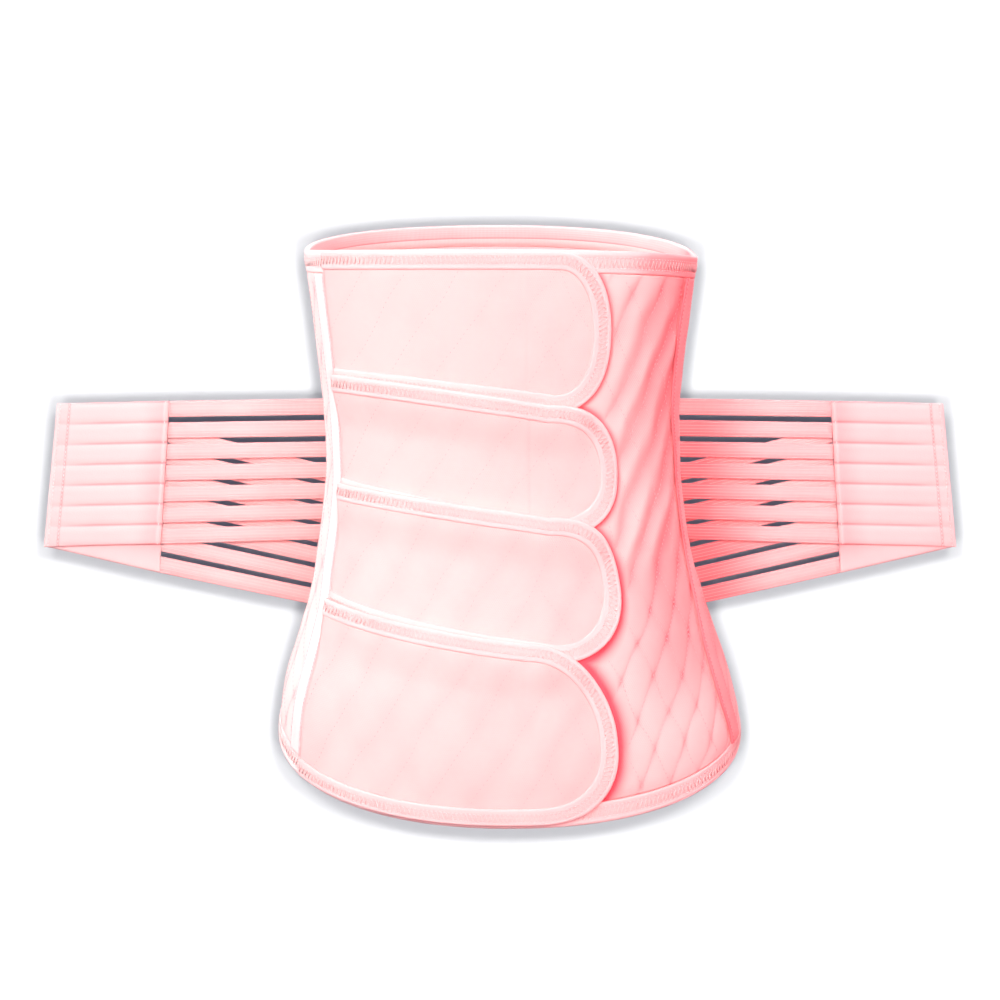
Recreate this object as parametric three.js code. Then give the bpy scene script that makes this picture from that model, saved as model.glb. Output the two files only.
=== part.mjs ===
// Abdominal binder: a quilted torso wrap that closes with four rounded front flaps, and has two
// elastic wings sewn to its back. Each wing is two sets of narrow strips that cross and end in a tab.
// Millimetres, +Z up, the front faces -Y, and left and right are as seen from the front. The origin is at
// the middle of the waist, inside the wrap.
import * as THREE from "three";

// The torso that the wrap is shaped on: widths, and depths in front of and behind the origin
const WAIST_WIDTH = 216.3;
const RIB_WIDTH = 239;
const HIP_WIDTH = 292.8;
const WAIST_FRONT = 80;
const RIB_FRONT = 89;
const HIP_FRONT = 99.5;
const WAIST_BACK = 78;
const RIB_BACK = 88;
const HIP_BACK = 109.5;
const HIP_SWAY = 6.2;
const SECTION_POWER = 0.92;

// How far the wrap's edges lie above and below the waist, and how softly they turn at the sides
const TOP_FRONT = 142.7;
const TOP_LEFT = 132.4;
const TOP_RIGHT = 127.9;
const TOP_BACK = 135.9;
const TOP_SOFTNESS = 0.13;
const BOTTOM_FRONT = 211.2;
const BOTTOM_LEFT = 177;
const BOTTOM_RIGHT = 179;
const BOTTOM_BACK = 186;
const BOTTOM_SOFTNESS = 0.2;
const BOTTOM_POWER = 0.83;

// Cloth
const GAP = 0.3;
const WALL = 2.4;
const WALL_ROWS = 12;
const RIM_BINDING_HEIGHT = 13.5;
const RIM_BINDING_PROUD = 0.45;
const RIM_GAP = 0.7;
const FLAP_QUILT = 2.2;
const FLAP_BINDING = 2.7;
const FLAP_BINDING_WIDTH = 11;
const FLAP_LAP_FALL = 26;
const FLAP_LAP_TURN = 9;
const FLAP_HEM_RISE = 2.5;
const TAPE_WIDTH = 14;
const TAPE = 1.6;
const TAPE_GAP = 0.45;
const ANCHOR_TAPE_WIDTH = 16;

// Wings: the sets of strips, and the tabs that they end in
const STRIP_COUNT = 7;
const STRIP_WIDTH = 10.6;
const LOWER_STRIP_WIDTH = 11.2;
const STRIP = 1.2;
const TAB = 1.4;
const TAB_GROOVE = 0.5;
const WING_DEPTH = 78;
const TAB_INNER_X = 219.4;
const TAB_INNER_SLANT = 0.085;
const TAB_OUTER_X = 293.9;
const TAB_OUTER_SLANT = 0.126;
const TAB_TOP = 19.6;
const TAB_BOTTOM = -77.1;
const UPPER_TOP_AT_TAB = 21.4;
const UPPER_TOP_AT_BACK = 25.8;
const UPPER_PITCH = 14.35;
const LOWER_BOTTOM_AT_TAB = -95.4;
const LOWER_BOTTOM_AT_BACK = -131.8;
const LOWER_PITCH_AT_TAB = 14.8;
const LOWER_PITCH_AT_BACK = 14.5;
const LOWER_TAB_TOP = 18;

// Seams, as turns round the torso in degrees: 0 is the middle of the front and 90 the right
const FLAP_ROOT = -59.8;
const FRONT_PANEL_START = -50;
const LEFT_PANEL_END = -56;
const RIGHT_SEAM = 69;
const BACK_SEAM = 150;
const SEAM_HALF_GAP = 0.1;

// Height is a share of TOP_FRONT above the waist and of BOTTOM_FRONT below it. In the other columns
// 0 is the waist's size and 1 the rib's or the hip's. seamTurn is how far the side seam wanders.
const SECTIONS = [
  { height: -1.0, width: 0.97, front: 1.0, back: 1.0, sway: 0.95, seamTurn: 2 },
  { height: -0.93, width: 1.03, front: 1.0, back: 1.0, sway: 0.9, seamTurn: 1 },
  { height: -0.82, width: 1.0, front: 0.97, back: 0.98, sway: 0.9, seamTurn: 0 },
  { height: -0.7, width: 0.866, front: 0.87, back: 0.9, sway: 0.86, seamTurn: -3 },
  { height: -0.56, width: 0.625, front: 0.69, back: 0.73, sway: 0.79, seamTurn: -3 },
  { height: -0.42, width: 0.382, front: 0.46, back: 0.51, sway: 0.68, seamTurn: 0 },
  { height: -0.27, width: 0.185, front: 0.23, back: 0.25, sway: 0.3, seamTurn: 5 },
  { height: -0.13, width: 0.057, front: 0.08, back: 0.08, sway: 0.18, seamTurn: 6 },
  { height: 0.0, width: 0.0, front: 0.0, back: 0.0, sway: 0.12, seamTurn: 5 },
  { height: 0.27, width: 0.09, front: 0.11, back: 0.15, sway: 0.02, seamTurn: -1 },
  { height: 0.6, width: 0.523, front: 0.5, back: 0.6, sway: 0.01, seamTurn: -3 },
  { height: 0.89, width: 0.946, front: 0.89, back: 1.0, sway: 0.12, seamTurn: -1 },
  { height: 1.0, width: 1.0, front: 1.0, back: 1.0, sway: 0.12, seamTurn: 0 },
];

// The flaps from the top down. Heights are shares as above: where the outline leaves the root, reaches
// the shoulder turn, and has its tip. bow lifts the middle of an edge, in shares of TOP_FRONT.
const FLAPS = [
  {
    name: "flap_1",
    shoulder: 14.4,
    tipTurn: 32,
    topRoot: null,
    topShoulder: null,
    tip: 0.6,
    lowShoulder: 0.31,
    lowRoot: 0.38,
    topBow: 0,
    lowBow: 0.035,
    topRound: 2.0,
    lowRound: 2.3,
    lapTurn: 0,
  },
  {
    name: "flap_2",
    shoulder: 12.4,
    tipTurn: 36.9,
    topRoot: 0.436,
    topShoulder: 0.35,
    tip: 0.02,
    lowShoulder: -0.156,
    lowRoot: -0.069,
    topBow: 0.035,
    lowBow: 0.03,
    topRound: 2.2,
    lowRound: 2.4,
    lapTurn: 20.6,
  },
  {
    name: "flap_3",
    shoulder: 12.4,
    tipTurn: 34.3,
    topRoot: -0.032,
    topShoulder: -0.095,
    tip: -0.293,
    lowShoulder: -0.516,
    lowRoot: -0.407,
    topBow: 0.03,
    lowBow: 0.014,
    topRound: 2.3,
    lowRound: 2.0,
    lapTurn: 26.8,
  },
  {
    name: "flap_4",
    shoulder: 4.1,
    tipTurn: 25,
    topRoot: -0.378,
    topShoulder: -0.455,
    tip: -0.734,
    lowShoulder: null,
    lowRoot: null,
    topBow: 0.014,
    lowBow: 0,
    topRound: 2.0,
    lowRound: 2.5,
    lapTurn: 15.4,
  },
];

// Drag folds of the front panel beside the flaps: the turn of each at the waist, its ends as height
// shares, and its crest as a share of the wall
const FOLDS = [
  { turn: 42.5, low: -0.3, high: 0.75, crest: 0.45 },
  { turn: 50, low: -0.36, high: 0.85, crest: 0.6 },
  { turn: 57.5, low: -0.42, high: 0.8, crest: 0.5 },
];
const FOLD_LEAN = 0.14;
const FOLD_HALF_TURN = 3.6;

const CLOTH = { quilt: 0xf9c9c6, binding: 0xf6bcbb, tape: 0xf8c6c3, elastic: 0xf7c3c2, tab: 0xf9d3cd };

const RADIANS = Math.PI / 180;

const lerp = (from, to, share) => from + (to - from) * share;

const smooth = (share) => {
  const t = Math.min(Math.max(share, 0), 1);
  return t * t * (3 - 2 * t);
};

const heightOf = (share) => share * (share > 0 ? TOP_FRONT : BOTTOM_FRONT);

const shareOf = (z) => z / (z > 0 ? TOP_FRONT : BOTTOM_FRONT);

// A column of the sections table at a height share, as a smooth curve through its rows
function column(name, share) {
  const last = SECTIONS.length - 1;
  const at = Math.min(Math.max(share, SECTIONS[0].height), SECTIONS[last].height);
  let row = 0;
  while (row < last - 1 && SECTIONS[row + 1].height < at) row += 1;
  const slope = (i) => {
    const below = SECTIONS[Math.max(i - 1, 0)];
    const above = SECTIONS[Math.min(i + 1, last)];
    return (above[name] - below[name]) / (above.height - below.height);
  };
  const step = SECTIONS[row + 1].height - SECTIONS[row].height;
  const t = (at - SECTIONS[row].height) / step;
  const ease = smooth(t);
  return (
    lerp(SECTIONS[row][name], SECTIONS[row + 1][name], ease) +
    step * (slope(row) * t * (1 - t) * (1 - t) - slope(row + 1) * t * t * (1 - t))
  );
}

// A point of the wrap's inner face
function innerPoint(turn, z) {
  const share = shareOf(z);
  const [width, front, back] = z > 0
    ? [RIB_WIDTH, RIB_FRONT, RIB_BACK]
    : [HIP_WIDTH, HIP_FRONT, HIP_BACK];
  const halfWidth = lerp(WAIST_WIDTH, width, column("width", share)) / 2;
  const sin = Math.sin(turn * RADIANS);
  const cos = Math.cos(turn * RADIANS);
  const depth = cos > 0
    ? lerp(WAIST_FRONT, front, column("front", share))
    : lerp(WAIST_BACK, back, column("back", share));
  return new THREE.Vector3(
    HIP_SWAY * column("sway", share) + halfWidth * Math.sign(sin) * Math.abs(sin) ** SECTION_POWER,
    -depth * Math.sign(cos) * Math.abs(cos) ** SECTION_POWER,
    z,
  );
}

// A point that lies offset outside the wrap's inner face
function wrapPoint(turn, z, offset) {
  const turnStep = 0.5;
  const riseStep = 1;
  const along = innerPoint(turn + turnStep, z).sub(innerPoint(turn - turnStep, z));
  const up = innerPoint(turn, z + riseStep).sub(innerPoint(turn, z - riseStep));
  return innerPoint(turn, z).addScaledVector(along.cross(up).normalize(), offset);
}

// The turn that a length round the torso takes at a place
function turnFor(length, turn, z) {
  return length / innerPoint(turn + 1, z).distanceTo(innerPoint(turn, z));
}

// The height of an edge of the wrap all round
function edgeHeight(turn, sides, front, back, softness, power) {
  const cos = Math.cos(turn * RADIANS);
  const side = Math.sin(turn * RADIANS) > 0 ? sides.right : sides.left;
  const reach = Math.hypot(1, softness) - softness;
  const share = ((Math.hypot(cos, softness) - softness) / reach) ** power;
  return lerp(side, cos > 0 ? front : back, share);
}

const topEdge = (turn) =>
  edgeHeight(turn, { left: TOP_LEFT, right: TOP_RIGHT }, TOP_FRONT, TOP_BACK, TOP_SOFTNESS, 1);

const bottomEdge = (turn) => {
  const sides = { left: -BOTTOM_LEFT, right: -BOTTOM_RIGHT };
  return edgeHeight(turn, sides, -BOTTOM_FRONT, -BOTTOM_BACK, BOTTOM_SOFTNESS, BOTTOM_POWER);
};

// The side seam's turn at a height
const rightSeam = (z) => RIGHT_SEAM + column("seamTurn", shareOf(z));

// A closed solid through sections that all have the same even number of points, facing outwards
function loft(sections) {
  const count = sections[0].length;
  const positions = sections.flat().flatMap((p) => [p.x, p.y, p.z]);
  const faces = [];
  const quad = (a, b, c, d) => faces.push([a, b, c], [a, c, d]);
  for (let s = 0; s < sections.length - 1; s += 1) {
    for (let k = 0; k < count; k += 1) {
      const next = (k + 1) % count;
      quad(s * count + k, (s + 1) * count + k, (s + 1) * count + next, s * count + next);
    }
  }
  const end = (sections.length - 1) * count;
  for (let k = 0; k < count / 2 - 1; k += 1) {
    quad(k, k + 1, count - 2 - k, count - 1 - k);
    quad(end + count - 1 - k, end + count - 2 - k, end + k + 1, end + k);
  }
  const corner = (i) => new THREE.Vector3().fromArray(positions, i * 3);
  const volume = faces.reduce((sum, [a, b, c]) => sum + corner(a).dot(corner(b).cross(corner(c))), 0);
  const index = volume > 0 ? faces.flat() : faces.flatMap(([a, b, c]) => [a, c, b]);
  const geometry = new THREE.BufferGeometry();
  geometry.setAttribute("position", new THREE.Float32BufferAttribute(positions, 3));
  geometry.setIndex(index);
  geometry.computeVertexNormals();
  return geometry;
}

// A wall on the torso: place(u, v) gives its turn and height, inner and outer its two faces' offsets
function wall(columns, rows, place, inner, outer) {
  const sections = [];
  for (let c = 0; c <= columns; c += 1) {
    const face = (offset) =>
      Array.from({ length: rows + 1 }, (_, r) => {
        const { turn, z } = place(c / columns, r / rows);
        return wrapPoint(turn, z, offset(turn, z));
      });
    sections.push([...face(outer), ...face(inner).reverse()]);
  }
  return loft(sections);
}

// A band on the torso between two lines. line(t) gives the turn and height of its inner line and of its
// edge, and base and thick the offset of its lower face and its thickness. The edge is rounded over.
const BAND_PROFILE = [
  { across: 0, rise: 0 },
  { across: 1, rise: 0.15 },
  { across: 1, rise: 0.6 },
  { across: 0.94, rise: 0.88 },
  { across: 0.8, rise: 1 },
  { across: 0, rise: 1 },
];

function band(stations, line, base, thick) {
  const sections = [];
  for (let s = 0; s <= stations; s += 1) {
    const { inner, edge } = line(s / stations);
    sections.push(
      BAND_PROFILE.map(({ across, rise }) => {
        const turn = lerp(inner.turn, edge.turn, across);
        const z = lerp(inner.z, edge.z, across);
        return wrapPoint(turn, z, base(turn, z) + thick * rise);
      }),
    );
  }
  return loft(sections);
}

// The crest of the drag folds over the front panel
function foldRelief(turn, z) {
  const share = shareOf(z);
  return FOLDS.reduce((sum, fold) => {
    const aside = Math.abs(turn - fold.turn - FOLD_LEAN * z) / FOLD_HALF_TURN;
    const middle = (fold.low + fold.high) / 2;
    const along = Math.abs(share - middle) / (fold.high - middle);
    return sum + WALL * fold.crest * smooth(1 - aside) * smooth(1.4 - 1.4 * along);
  }, 0);
}

// The height of a place between the two rim bindings: share 0 is at the lower one
function wallHeight(turn, share) {
  const low = bottomEdge(turn) + RIM_BINDING_HEIGHT + RIM_GAP;
  const high = topEdge(turn) - RIM_BINDING_HEIGHT - RIM_GAP;
  return lerp(low, high, share);
}

// The place at a share of the wall's height on an upright line, whose turn at a height is turnAt(z)
function wallPlace(turnAt, share) {
  const near = wallHeight(turnAt(0), share);
  const z = wallHeight(turnAt(near), share);
  return { turn: turnAt(z), z };
}

// A quilted wall panel between two seams, from the lower to the upper rim binding
function wallPanel(columns, start, end, relief = () => 0) {
  const place = (u, v) => wallPlace((z) => lerp(start(z), end(z), u), v);
  return wall(columns, WALL_ROWS, place, () => 0, (turn, z) => WALL + relief(turn, z));
}

// The binding over the wrap's upper or lower rim, open under the flaps
function rimBinding(edge, inwards) {
  const line = (t) => {
    const turn = lerp(FRONT_PANEL_START, FLAP_ROOT + 360, t);
    return {
      inner: { turn, z: edge(turn) + inwards * RIM_BINDING_HEIGHT },
      edge: { turn, z: edge(turn) },
    };
  };
  return band(56, line, () => -RIM_BINDING_PROUD, WALL + 2 * RIM_BINDING_PROUD);
}

// The flap's outline at a turn. inset draws it in by a length on every free side.
function flapEdges(flap, turn, inset) {
  const hem = (t) => bottomEdge(t) + FLAP_HEM_RISE;
  const tipZ = heightOf(flap.tip);
  const topShoulder = flap.topShoulder === null ? topEdge(flap.shoulder) : heightOf(flap.topShoulder);
  const lowShoulder = flap.lowShoulder === null ? hem(flap.shoulder) : heightOf(flap.lowShoulder);
  if (turn <= flap.shoulder) {
    const share = (turn - FLAP_ROOT) / (flap.shoulder - FLAP_ROOT);
    const bow = 4 * share * (1 - share) * TOP_FRONT;
    const top = flap.topRoot === null
      ? topEdge(turn)
      : lerp(heightOf(flap.topRoot), topShoulder, share) + bow * flap.topBow;
    const low = flap.lowRoot === null
      ? hem(turn)
      : lerp(heightOf(flap.lowRoot), lowShoulder, share) + bow * flap.lowBow;
    return { top: top - inset, low: low + inset };
  }
  const reach = flap.tipTurn - flap.shoulder - turnFor(inset, flap.tipTurn, tipZ);
  const share = Math.min((turn - flap.shoulder) / reach, 1);
  const round = (power) => (1 - share ** power) ** (1 / power);
  return {
    top: tipZ + (topShoulder - inset - tipZ) * round(flap.topRound),
    low: tipZ + (lowShoulder + inset - tipZ) * round(flap.lowRound),
  };
}

// Turns along a flap from its root to its tip, closer together round the end. share 1 is the tip.
function flapTurn(flap, share, inset) {
  const straight = 0.55;
  if (share <= straight) return lerp(FLAP_ROOT, flap.shoulder, share / straight);
  const reach = flap.tipTurn - flap.shoulder - turnFor(inset, flap.tipTurn, heightOf(flap.tip));
  return flap.shoulder + reach * Math.sin(((share - straight) / (1 - straight)) * 90 * RADIANS);
}

// How far a flap's lower face lies outside the wrap: its upper edge laps over the flap above
function flapBase(flap) {
  const onWall = WALL + RIM_BINDING_PROUD + GAP;
  const onFlap = FLAP_BINDING + GAP;
  return (turn, z) => {
    if (flap.topRoot === null) return onWall;
    const held = flapEdges(flap, Math.min(turn, flap.shoulder), 0).top - FLAP_BINDING_WIDTH;
    const fallen = smooth((held - z) / FLAP_LAP_FALL);
    const passed = smooth((turn - flap.lapTurn) / FLAP_LAP_TURN);
    return onWall + onFlap * (1 - fallen) * (1 - passed);
  };
}

function flapPanel(flap) {
  const inset = FLAP_BINDING_WIDTH + GAP;
  const lastShare = 0.985;
  const place = (u, v) => {
    const turn = flapTurn(flap, u * lastShare, inset);
    const { top, low } = flapEdges(flap, turn, inset);
    return { turn, z: lerp(low, top, v) };
  };
  const base = flapBase(flap);
  return wall(22, 5, place, base, (turn, z) => base(turn, z) + FLAP_QUILT);
}

// The binding round a flap's free edges, from the root over the tip and back
function flapBinding(flap) {
  const line = (t) => {
    const share = 1 - Math.abs(2 * t - 1);
    const side = t <= 0.5 ? "top" : "low";
    const innerTurn = flapTurn(flap, share, FLAP_BINDING_WIDTH);
    const edgeTurn = flapTurn(flap, share, 0);
    return {
      inner: { turn: innerTurn, z: flapEdges(flap, innerTurn, FLAP_BINDING_WIDTH)[side] },
      edge: { turn: edgeTurn, z: flapEdges(flap, edgeTurn, 0)[side] },
    };
  };
  return band(38, line, flapBase(flap), FLAP_BINDING);
}

// A vertical tape over a seam, between the rim bindings, domed a little along its middle. seam(z) is the
// turn of the edge that it starts from, and side the way that it goes from there.
const TAPE_PROFILE = [
  { across: 0, rise: 0 },
  { across: 0.5, rise: 0 },
  { across: 1, rise: 0 },
  { across: 1, rise: 0.6 },
  { across: 0.5, rise: 1 },
  { across: 0, rise: 0.6 },
];

function seamTape(seam, side, width, thick) {
  const sections = [];
  for (let s = 0; s <= WALL_ROWS; s += 1) {
    sections.push(
      TAPE_PROFILE.map(({ across, rise }) => {
        const turnAt = (z) => seam(z) + side * turnFor(width * across, seam(z), z);
        const { turn, z } = wallPlace(turnAt, s / WALL_ROWS);
        return wrapPoint(turn, z, WALL + TAPE_GAP + thick * rise);
      }),
    );
  }
  return loft(sections);
}

// The heights of a strip's upper and lower edge in a set, at the tab (share 0) and at the back (share 1)
const STRIP_SETS = {
  upper: {
    layer: 0,
    edges: (row, share) => {
      const top = lerp(UPPER_TOP_AT_TAB, UPPER_TOP_AT_BACK, share) - row * UPPER_PITCH;
      return { top, low: top - STRIP_WIDTH };
    },
  },
  lower: {
    layer: 1,
    edges: (row, share) => {
      const pitch = lerp(LOWER_PITCH_AT_TAB, LOWER_PITCH_AT_BACK, share);
      const bottom = lerp(LOWER_BOTTOM_AT_TAB, LOWER_BOTTOM_AT_BACK, share);
      const low = bottom + (STRIP_COUNT - 1 - row) * pitch;
      return { top: low + LOWER_STRIP_WIDTH, low };
    },
  },
};

const tabInnerX = (z) => TAB_INNER_X - TAB_INNER_SLANT * z;

const tabOuterX = (z) => TAB_OUTER_X - TAB_OUTER_SLANT * z;

const layerDepth = (layer) => WING_DEPTH + layer * (TAB + GAP);

// One elastic strip, straight from the back tape to the tab. side is 1 on the right and -1 on the left.
function strip(side, set, row) {
  const offset = WALL + 2 * GAP + set.layer * (STRIP + GAP);
  const anchor = (z, out) => {
    const turn = BACK_SEAM - turnFor(ANCHOR_TAPE_WIDTH / 2 + GAP, BACK_SEAM, z);
    return wrapPoint(side * turn, z, offset + out);
  };
  const y = layerDepth(set.layer) + (TAB - STRIP) / 2;
  const atTab = (z, out) => new THREE.Vector3(side * (tabInnerX(z) - GAP), y + out, z);
  const section = (point, share) => {
    const { top, low } = set.edges(row, share);
    return [point(low, 0), point(top, 0), point(top, STRIP), point(low, STRIP)];
  };
  return loft([section(anchor, 1), section(atTab, 0)]);
}

// The tab's front layer, where the upper strips are sewn side by side, grooved between them
function frontTab(side) {
  const section = (edgeX, top, bottom) => {
    const face = [];
    const pitch = (top - bottom) / STRIP_COUNT;
    for (let row = STRIP_COUNT - 1; row >= 0; row -= 1) {
      const low = top - (row + 1) * pitch;
      const half = (UPPER_PITCH - STRIP_WIDTH) / 2;
      if (row < STRIP_COUNT - 1) face.push({ z: low, groove: TAB_GROOVE });
      face.push({ z: row < STRIP_COUNT - 1 ? low + half : low, groove: 0 });
      face.push({ z: row > 0 ? low + pitch - half : top, groove: 0 });
    }
    const point = (z, y) => new THREE.Vector3(side * edgeX(z), y, z);
    const front = face.map(({ z, groove }) => point(z, WING_DEPTH + groove));
    const back = face.map(({ z }) => point(z, WING_DEPTH + TAB)).reverse();
    return [...front, ...back];
  };
  const innerBottom = STRIP_SETS.upper.edges(STRIP_COUNT - 1, 0).low;
  return loft([
    section(tabInnerX, UPPER_TOP_AT_TAB, innerBottom),
    section(tabOuterX, TAB_TOP, TAB_BOTTOM),
  ]);
}

// The tab's back layer, where the lower strips are sewn, tapering to the outer corner
function backTab(side) {
  const y = layerDepth(1);
  const section = (edgeX, top, bottom) => {
    const point = (z, out) => new THREE.Vector3(side * edgeX(z), y + out, z);
    return [point(bottom, 0), point(top, 0), point(top, TAB), point(bottom, TAB)];
  };
  return loft([
    section(tabInnerX, STRIP_SETS.lower.edges(0, 0).top, LOWER_BOTTOM_AT_TAB),
    section(tabOuterX, LOWER_TAB_TOP, TAB_BOTTOM),
  ]);
}

const binder = new THREE.Group();

function add(group, name, color, geometry) {
  const material = new THREE.MeshStandardMaterial({ color, roughness: 0.85, metalness: 0 });
  const mesh = new THREE.Mesh(geometry, material);
  mesh.name = name;
  group.add(mesh);
}

function wrap() {
  const group = new THREE.Group();
  const at = (turn) => () => turn;
  const rightOf = (z) => rightSeam(z) + SEAM_HALF_GAP;
  const leftOf = (z) => rightSeam(z) - SEAM_HALF_GAP;
  const panels = [
    ["front_panel", wallPanel(26, at(FRONT_PANEL_START), leftOf, foldRelief)],
    ["right_side_panel", wallPanel(14, rightOf, at(BACK_SEAM - SEAM_HALF_GAP))],
    ["back_panel", wallPanel(10, at(BACK_SEAM + SEAM_HALF_GAP), at(360 - BACK_SEAM - SEAM_HALF_GAP))],
    ["left_side_panel", wallPanel(16, at(-BACK_SEAM + SEAM_HALF_GAP), at(LEFT_PANEL_END))],
  ];
  panels.forEach(([name, geometry]) => add(group, name, CLOTH.quilt, geometry));
  add(group, "top_binding", CLOTH.binding, rimBinding(topEdge, -1));
  add(group, "bottom_binding", CLOTH.binding, rimBinding(bottomEdge, 1));
  return group;
}

function seams() {
  const group = new THREE.Group();
  const anchorThick = 2 * (STRIP + GAP) + GAP;
  const besideFlaps = (z) => FLAP_ROOT - turnFor(GAP, FLAP_ROOT, z);
  const besideBack = (side) => (z) =>
    side * (BACK_SEAM - turnFor(ANCHOR_TAPE_WIDTH / 2, BACK_SEAM, z));
  add(group, "left_seam_tape", CLOTH.tape, seamTape(besideFlaps, -1, TAPE_WIDTH, TAPE));
  add(group, "right_seam_tape", CLOTH.tape, seamTape(rightSeam, 1, TAPE_WIDTH, TAPE));
  [["right", 1], ["left", -1]].forEach(([word, side]) => {
    const tape = seamTape(besideBack(side), side, ANCHOR_TAPE_WIDTH, anchorThick);
    add(group, `${word}_back_tape`, CLOTH.tape, tape);
  });
  return group;
}

function flaps() {
  const group = new THREE.Group();
  FLAPS.forEach((flap) => {
    add(group, flap.name, CLOTH.quilt, flapPanel(flap));
    add(group, `${flap.name}_binding`, CLOTH.binding, flapBinding(flap));
  });
  return group;
}

function wing(word, side) {
  const group = new THREE.Group();
  Object.entries(STRIP_SETS).forEach(([setName, set]) => {
    for (let row = 0; row < STRIP_COUNT; row += 1) {
      add(group, `${word}_${setName}_strip_${row + 1}`, CLOTH.elastic, strip(side, set, row));
    }
  });
  add(group, `${word}_tab_front`, CLOTH.tab, frontTab(side));
  add(group, `${word}_tab_back`, CLOTH.tab, backTab(side));
  return group;
}

binder.add(wrap(), seams(), flaps(), wing("right", 1), wing("left", -1));

export default binder;
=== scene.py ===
"""Abdominal binder: the looks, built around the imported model.

A quilted wrap closes with four rounded flaps over a double front. Two wings of crossing elastic strips
are sewn to its back and end in soft tabs. Lengths are in metres and turns in degrees: turn 0 is the
middle of the front and 90 the right, as seen from the front, which faces -Y.
"""

import logging
import math
from dataclasses import dataclass, field
from enum import Enum
from typing import Callable, Sequence

import bpy
import numpy as np
from mathutils import Matrix, Vector

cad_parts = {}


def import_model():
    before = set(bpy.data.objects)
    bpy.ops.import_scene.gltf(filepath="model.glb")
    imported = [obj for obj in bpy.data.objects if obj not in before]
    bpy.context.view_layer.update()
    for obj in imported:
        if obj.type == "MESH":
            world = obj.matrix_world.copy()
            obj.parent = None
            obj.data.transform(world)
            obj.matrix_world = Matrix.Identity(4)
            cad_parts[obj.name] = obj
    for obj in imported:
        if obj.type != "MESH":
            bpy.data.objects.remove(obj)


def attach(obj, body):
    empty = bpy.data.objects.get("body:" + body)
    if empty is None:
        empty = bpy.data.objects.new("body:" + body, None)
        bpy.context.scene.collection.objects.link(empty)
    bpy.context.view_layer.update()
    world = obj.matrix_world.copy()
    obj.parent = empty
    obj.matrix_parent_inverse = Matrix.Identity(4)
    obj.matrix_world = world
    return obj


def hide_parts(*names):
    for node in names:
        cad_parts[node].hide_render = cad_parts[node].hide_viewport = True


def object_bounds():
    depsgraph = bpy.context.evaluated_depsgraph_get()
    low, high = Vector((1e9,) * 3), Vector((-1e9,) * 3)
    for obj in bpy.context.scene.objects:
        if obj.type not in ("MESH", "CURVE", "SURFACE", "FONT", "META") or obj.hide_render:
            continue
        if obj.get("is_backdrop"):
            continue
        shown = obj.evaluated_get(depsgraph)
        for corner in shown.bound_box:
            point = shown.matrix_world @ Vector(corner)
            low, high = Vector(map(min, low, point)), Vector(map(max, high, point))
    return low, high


LOG = logging.getLogger("binder")
BODY = "root"

Grid = np.ndarray
Colour = tuple[float, float, float]
Object = bpy.types.Object
Material = bpy.types.Material
Tree = bpy.types.NodeTree
Node = bpy.types.Node
Socket = bpy.types.NodeSocket


def smooth(share: Grid) -> Grid:
    """Returns a share between 0 and 1, eased at both ends."""
    t = np.clip(share, 0.0, 1.0)
    return t * t * (3.0 - 2.0 * t)


def lerp(start: Grid, end: Grid, share: Grid) -> Grid:
    """Returns the value at a share of the way from start to end."""
    return start + (end - start) * share


def window(value: Grid, start: float, rise: float, end: float, fall: float) -> Grid:
    """Returns 1 between start and end, eased to 0 at both over the reaches rise and fall."""
    return smooth((value - start) / rise) * smooth((end - value) / fall)


def unit_grid(columns: int, rows: int) -> tuple[Grid, Grid]:
    """Returns the shares from 0 to 1 along and across a grid, by column and row."""
    along, across = np.meshgrid(np.linspace(0, 1, columns), np.linspace(0, 1, rows), indexing="ij")
    return along, across


def wired(tree: Tree, kind: str, inputs: dict[str | int, object], **settings: object) -> Node:
    """Adds a node to a tree.

    Args:
        tree: the tree.
        kind: the node's type.
        inputs: what goes into its sockets: the output of another node, or a value.
        settings: the node's own settings, which are made first.

    Returns:
        The node.
    """
    node = tree.nodes.new(kind)
    for key, value in settings.items():
        setattr(node, key, value)
    for key, value in inputs.items():
        if isinstance(value, Socket):
            tree.links.new(value, node.inputs[key])
        else:
            node.inputs[key].default_value = value
    return node


@dataclass(frozen=True)
class Section:
    """One level of the torso. Height is a share of the front's reach above or below the waist, and in
    the other columns 0 is the waist's size and 1 the rib's or the hip's."""

    height: float
    width: float
    front: float
    back: float
    sway: float
    seam_turn: float


SECTIONS: tuple[Section, ...] = (
    Section(-1.0, 0.97, 1.0, 1.0, 0.95, 2),
    Section(-0.93, 1.0, 1.0, 1.0, 0.95, 1),
    Section(-0.82, 0.975, 0.97, 0.98, 1.0, 0),
    Section(-0.7, 0.866, 0.87, 0.9, 0.86, -3),
    Section(-0.56, 0.625, 0.69, 0.73, 0.79, -3),
    Section(-0.42, 0.382, 0.46, 0.51, 0.68, 0),
    Section(-0.27, 0.185, 0.23, 0.25, 0.3, 5),
    Section(-0.13, 0.057, 0.08, 0.08, 0.26, 6),
    Section(0.0, 0.0, 0.0, 0.0, 0.22, 5),
    Section(0.27, 0.09, 0.11, 0.15, 0.13, -1),
    Section(0.6, 0.523, 0.5, 0.6, 0.1, -3),
    Section(0.89, 0.946, 0.89, 1.0, 0.12, -1),
    Section(1.0, 1.0, 1.0, 1.0, 0.12, 0),
)


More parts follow.
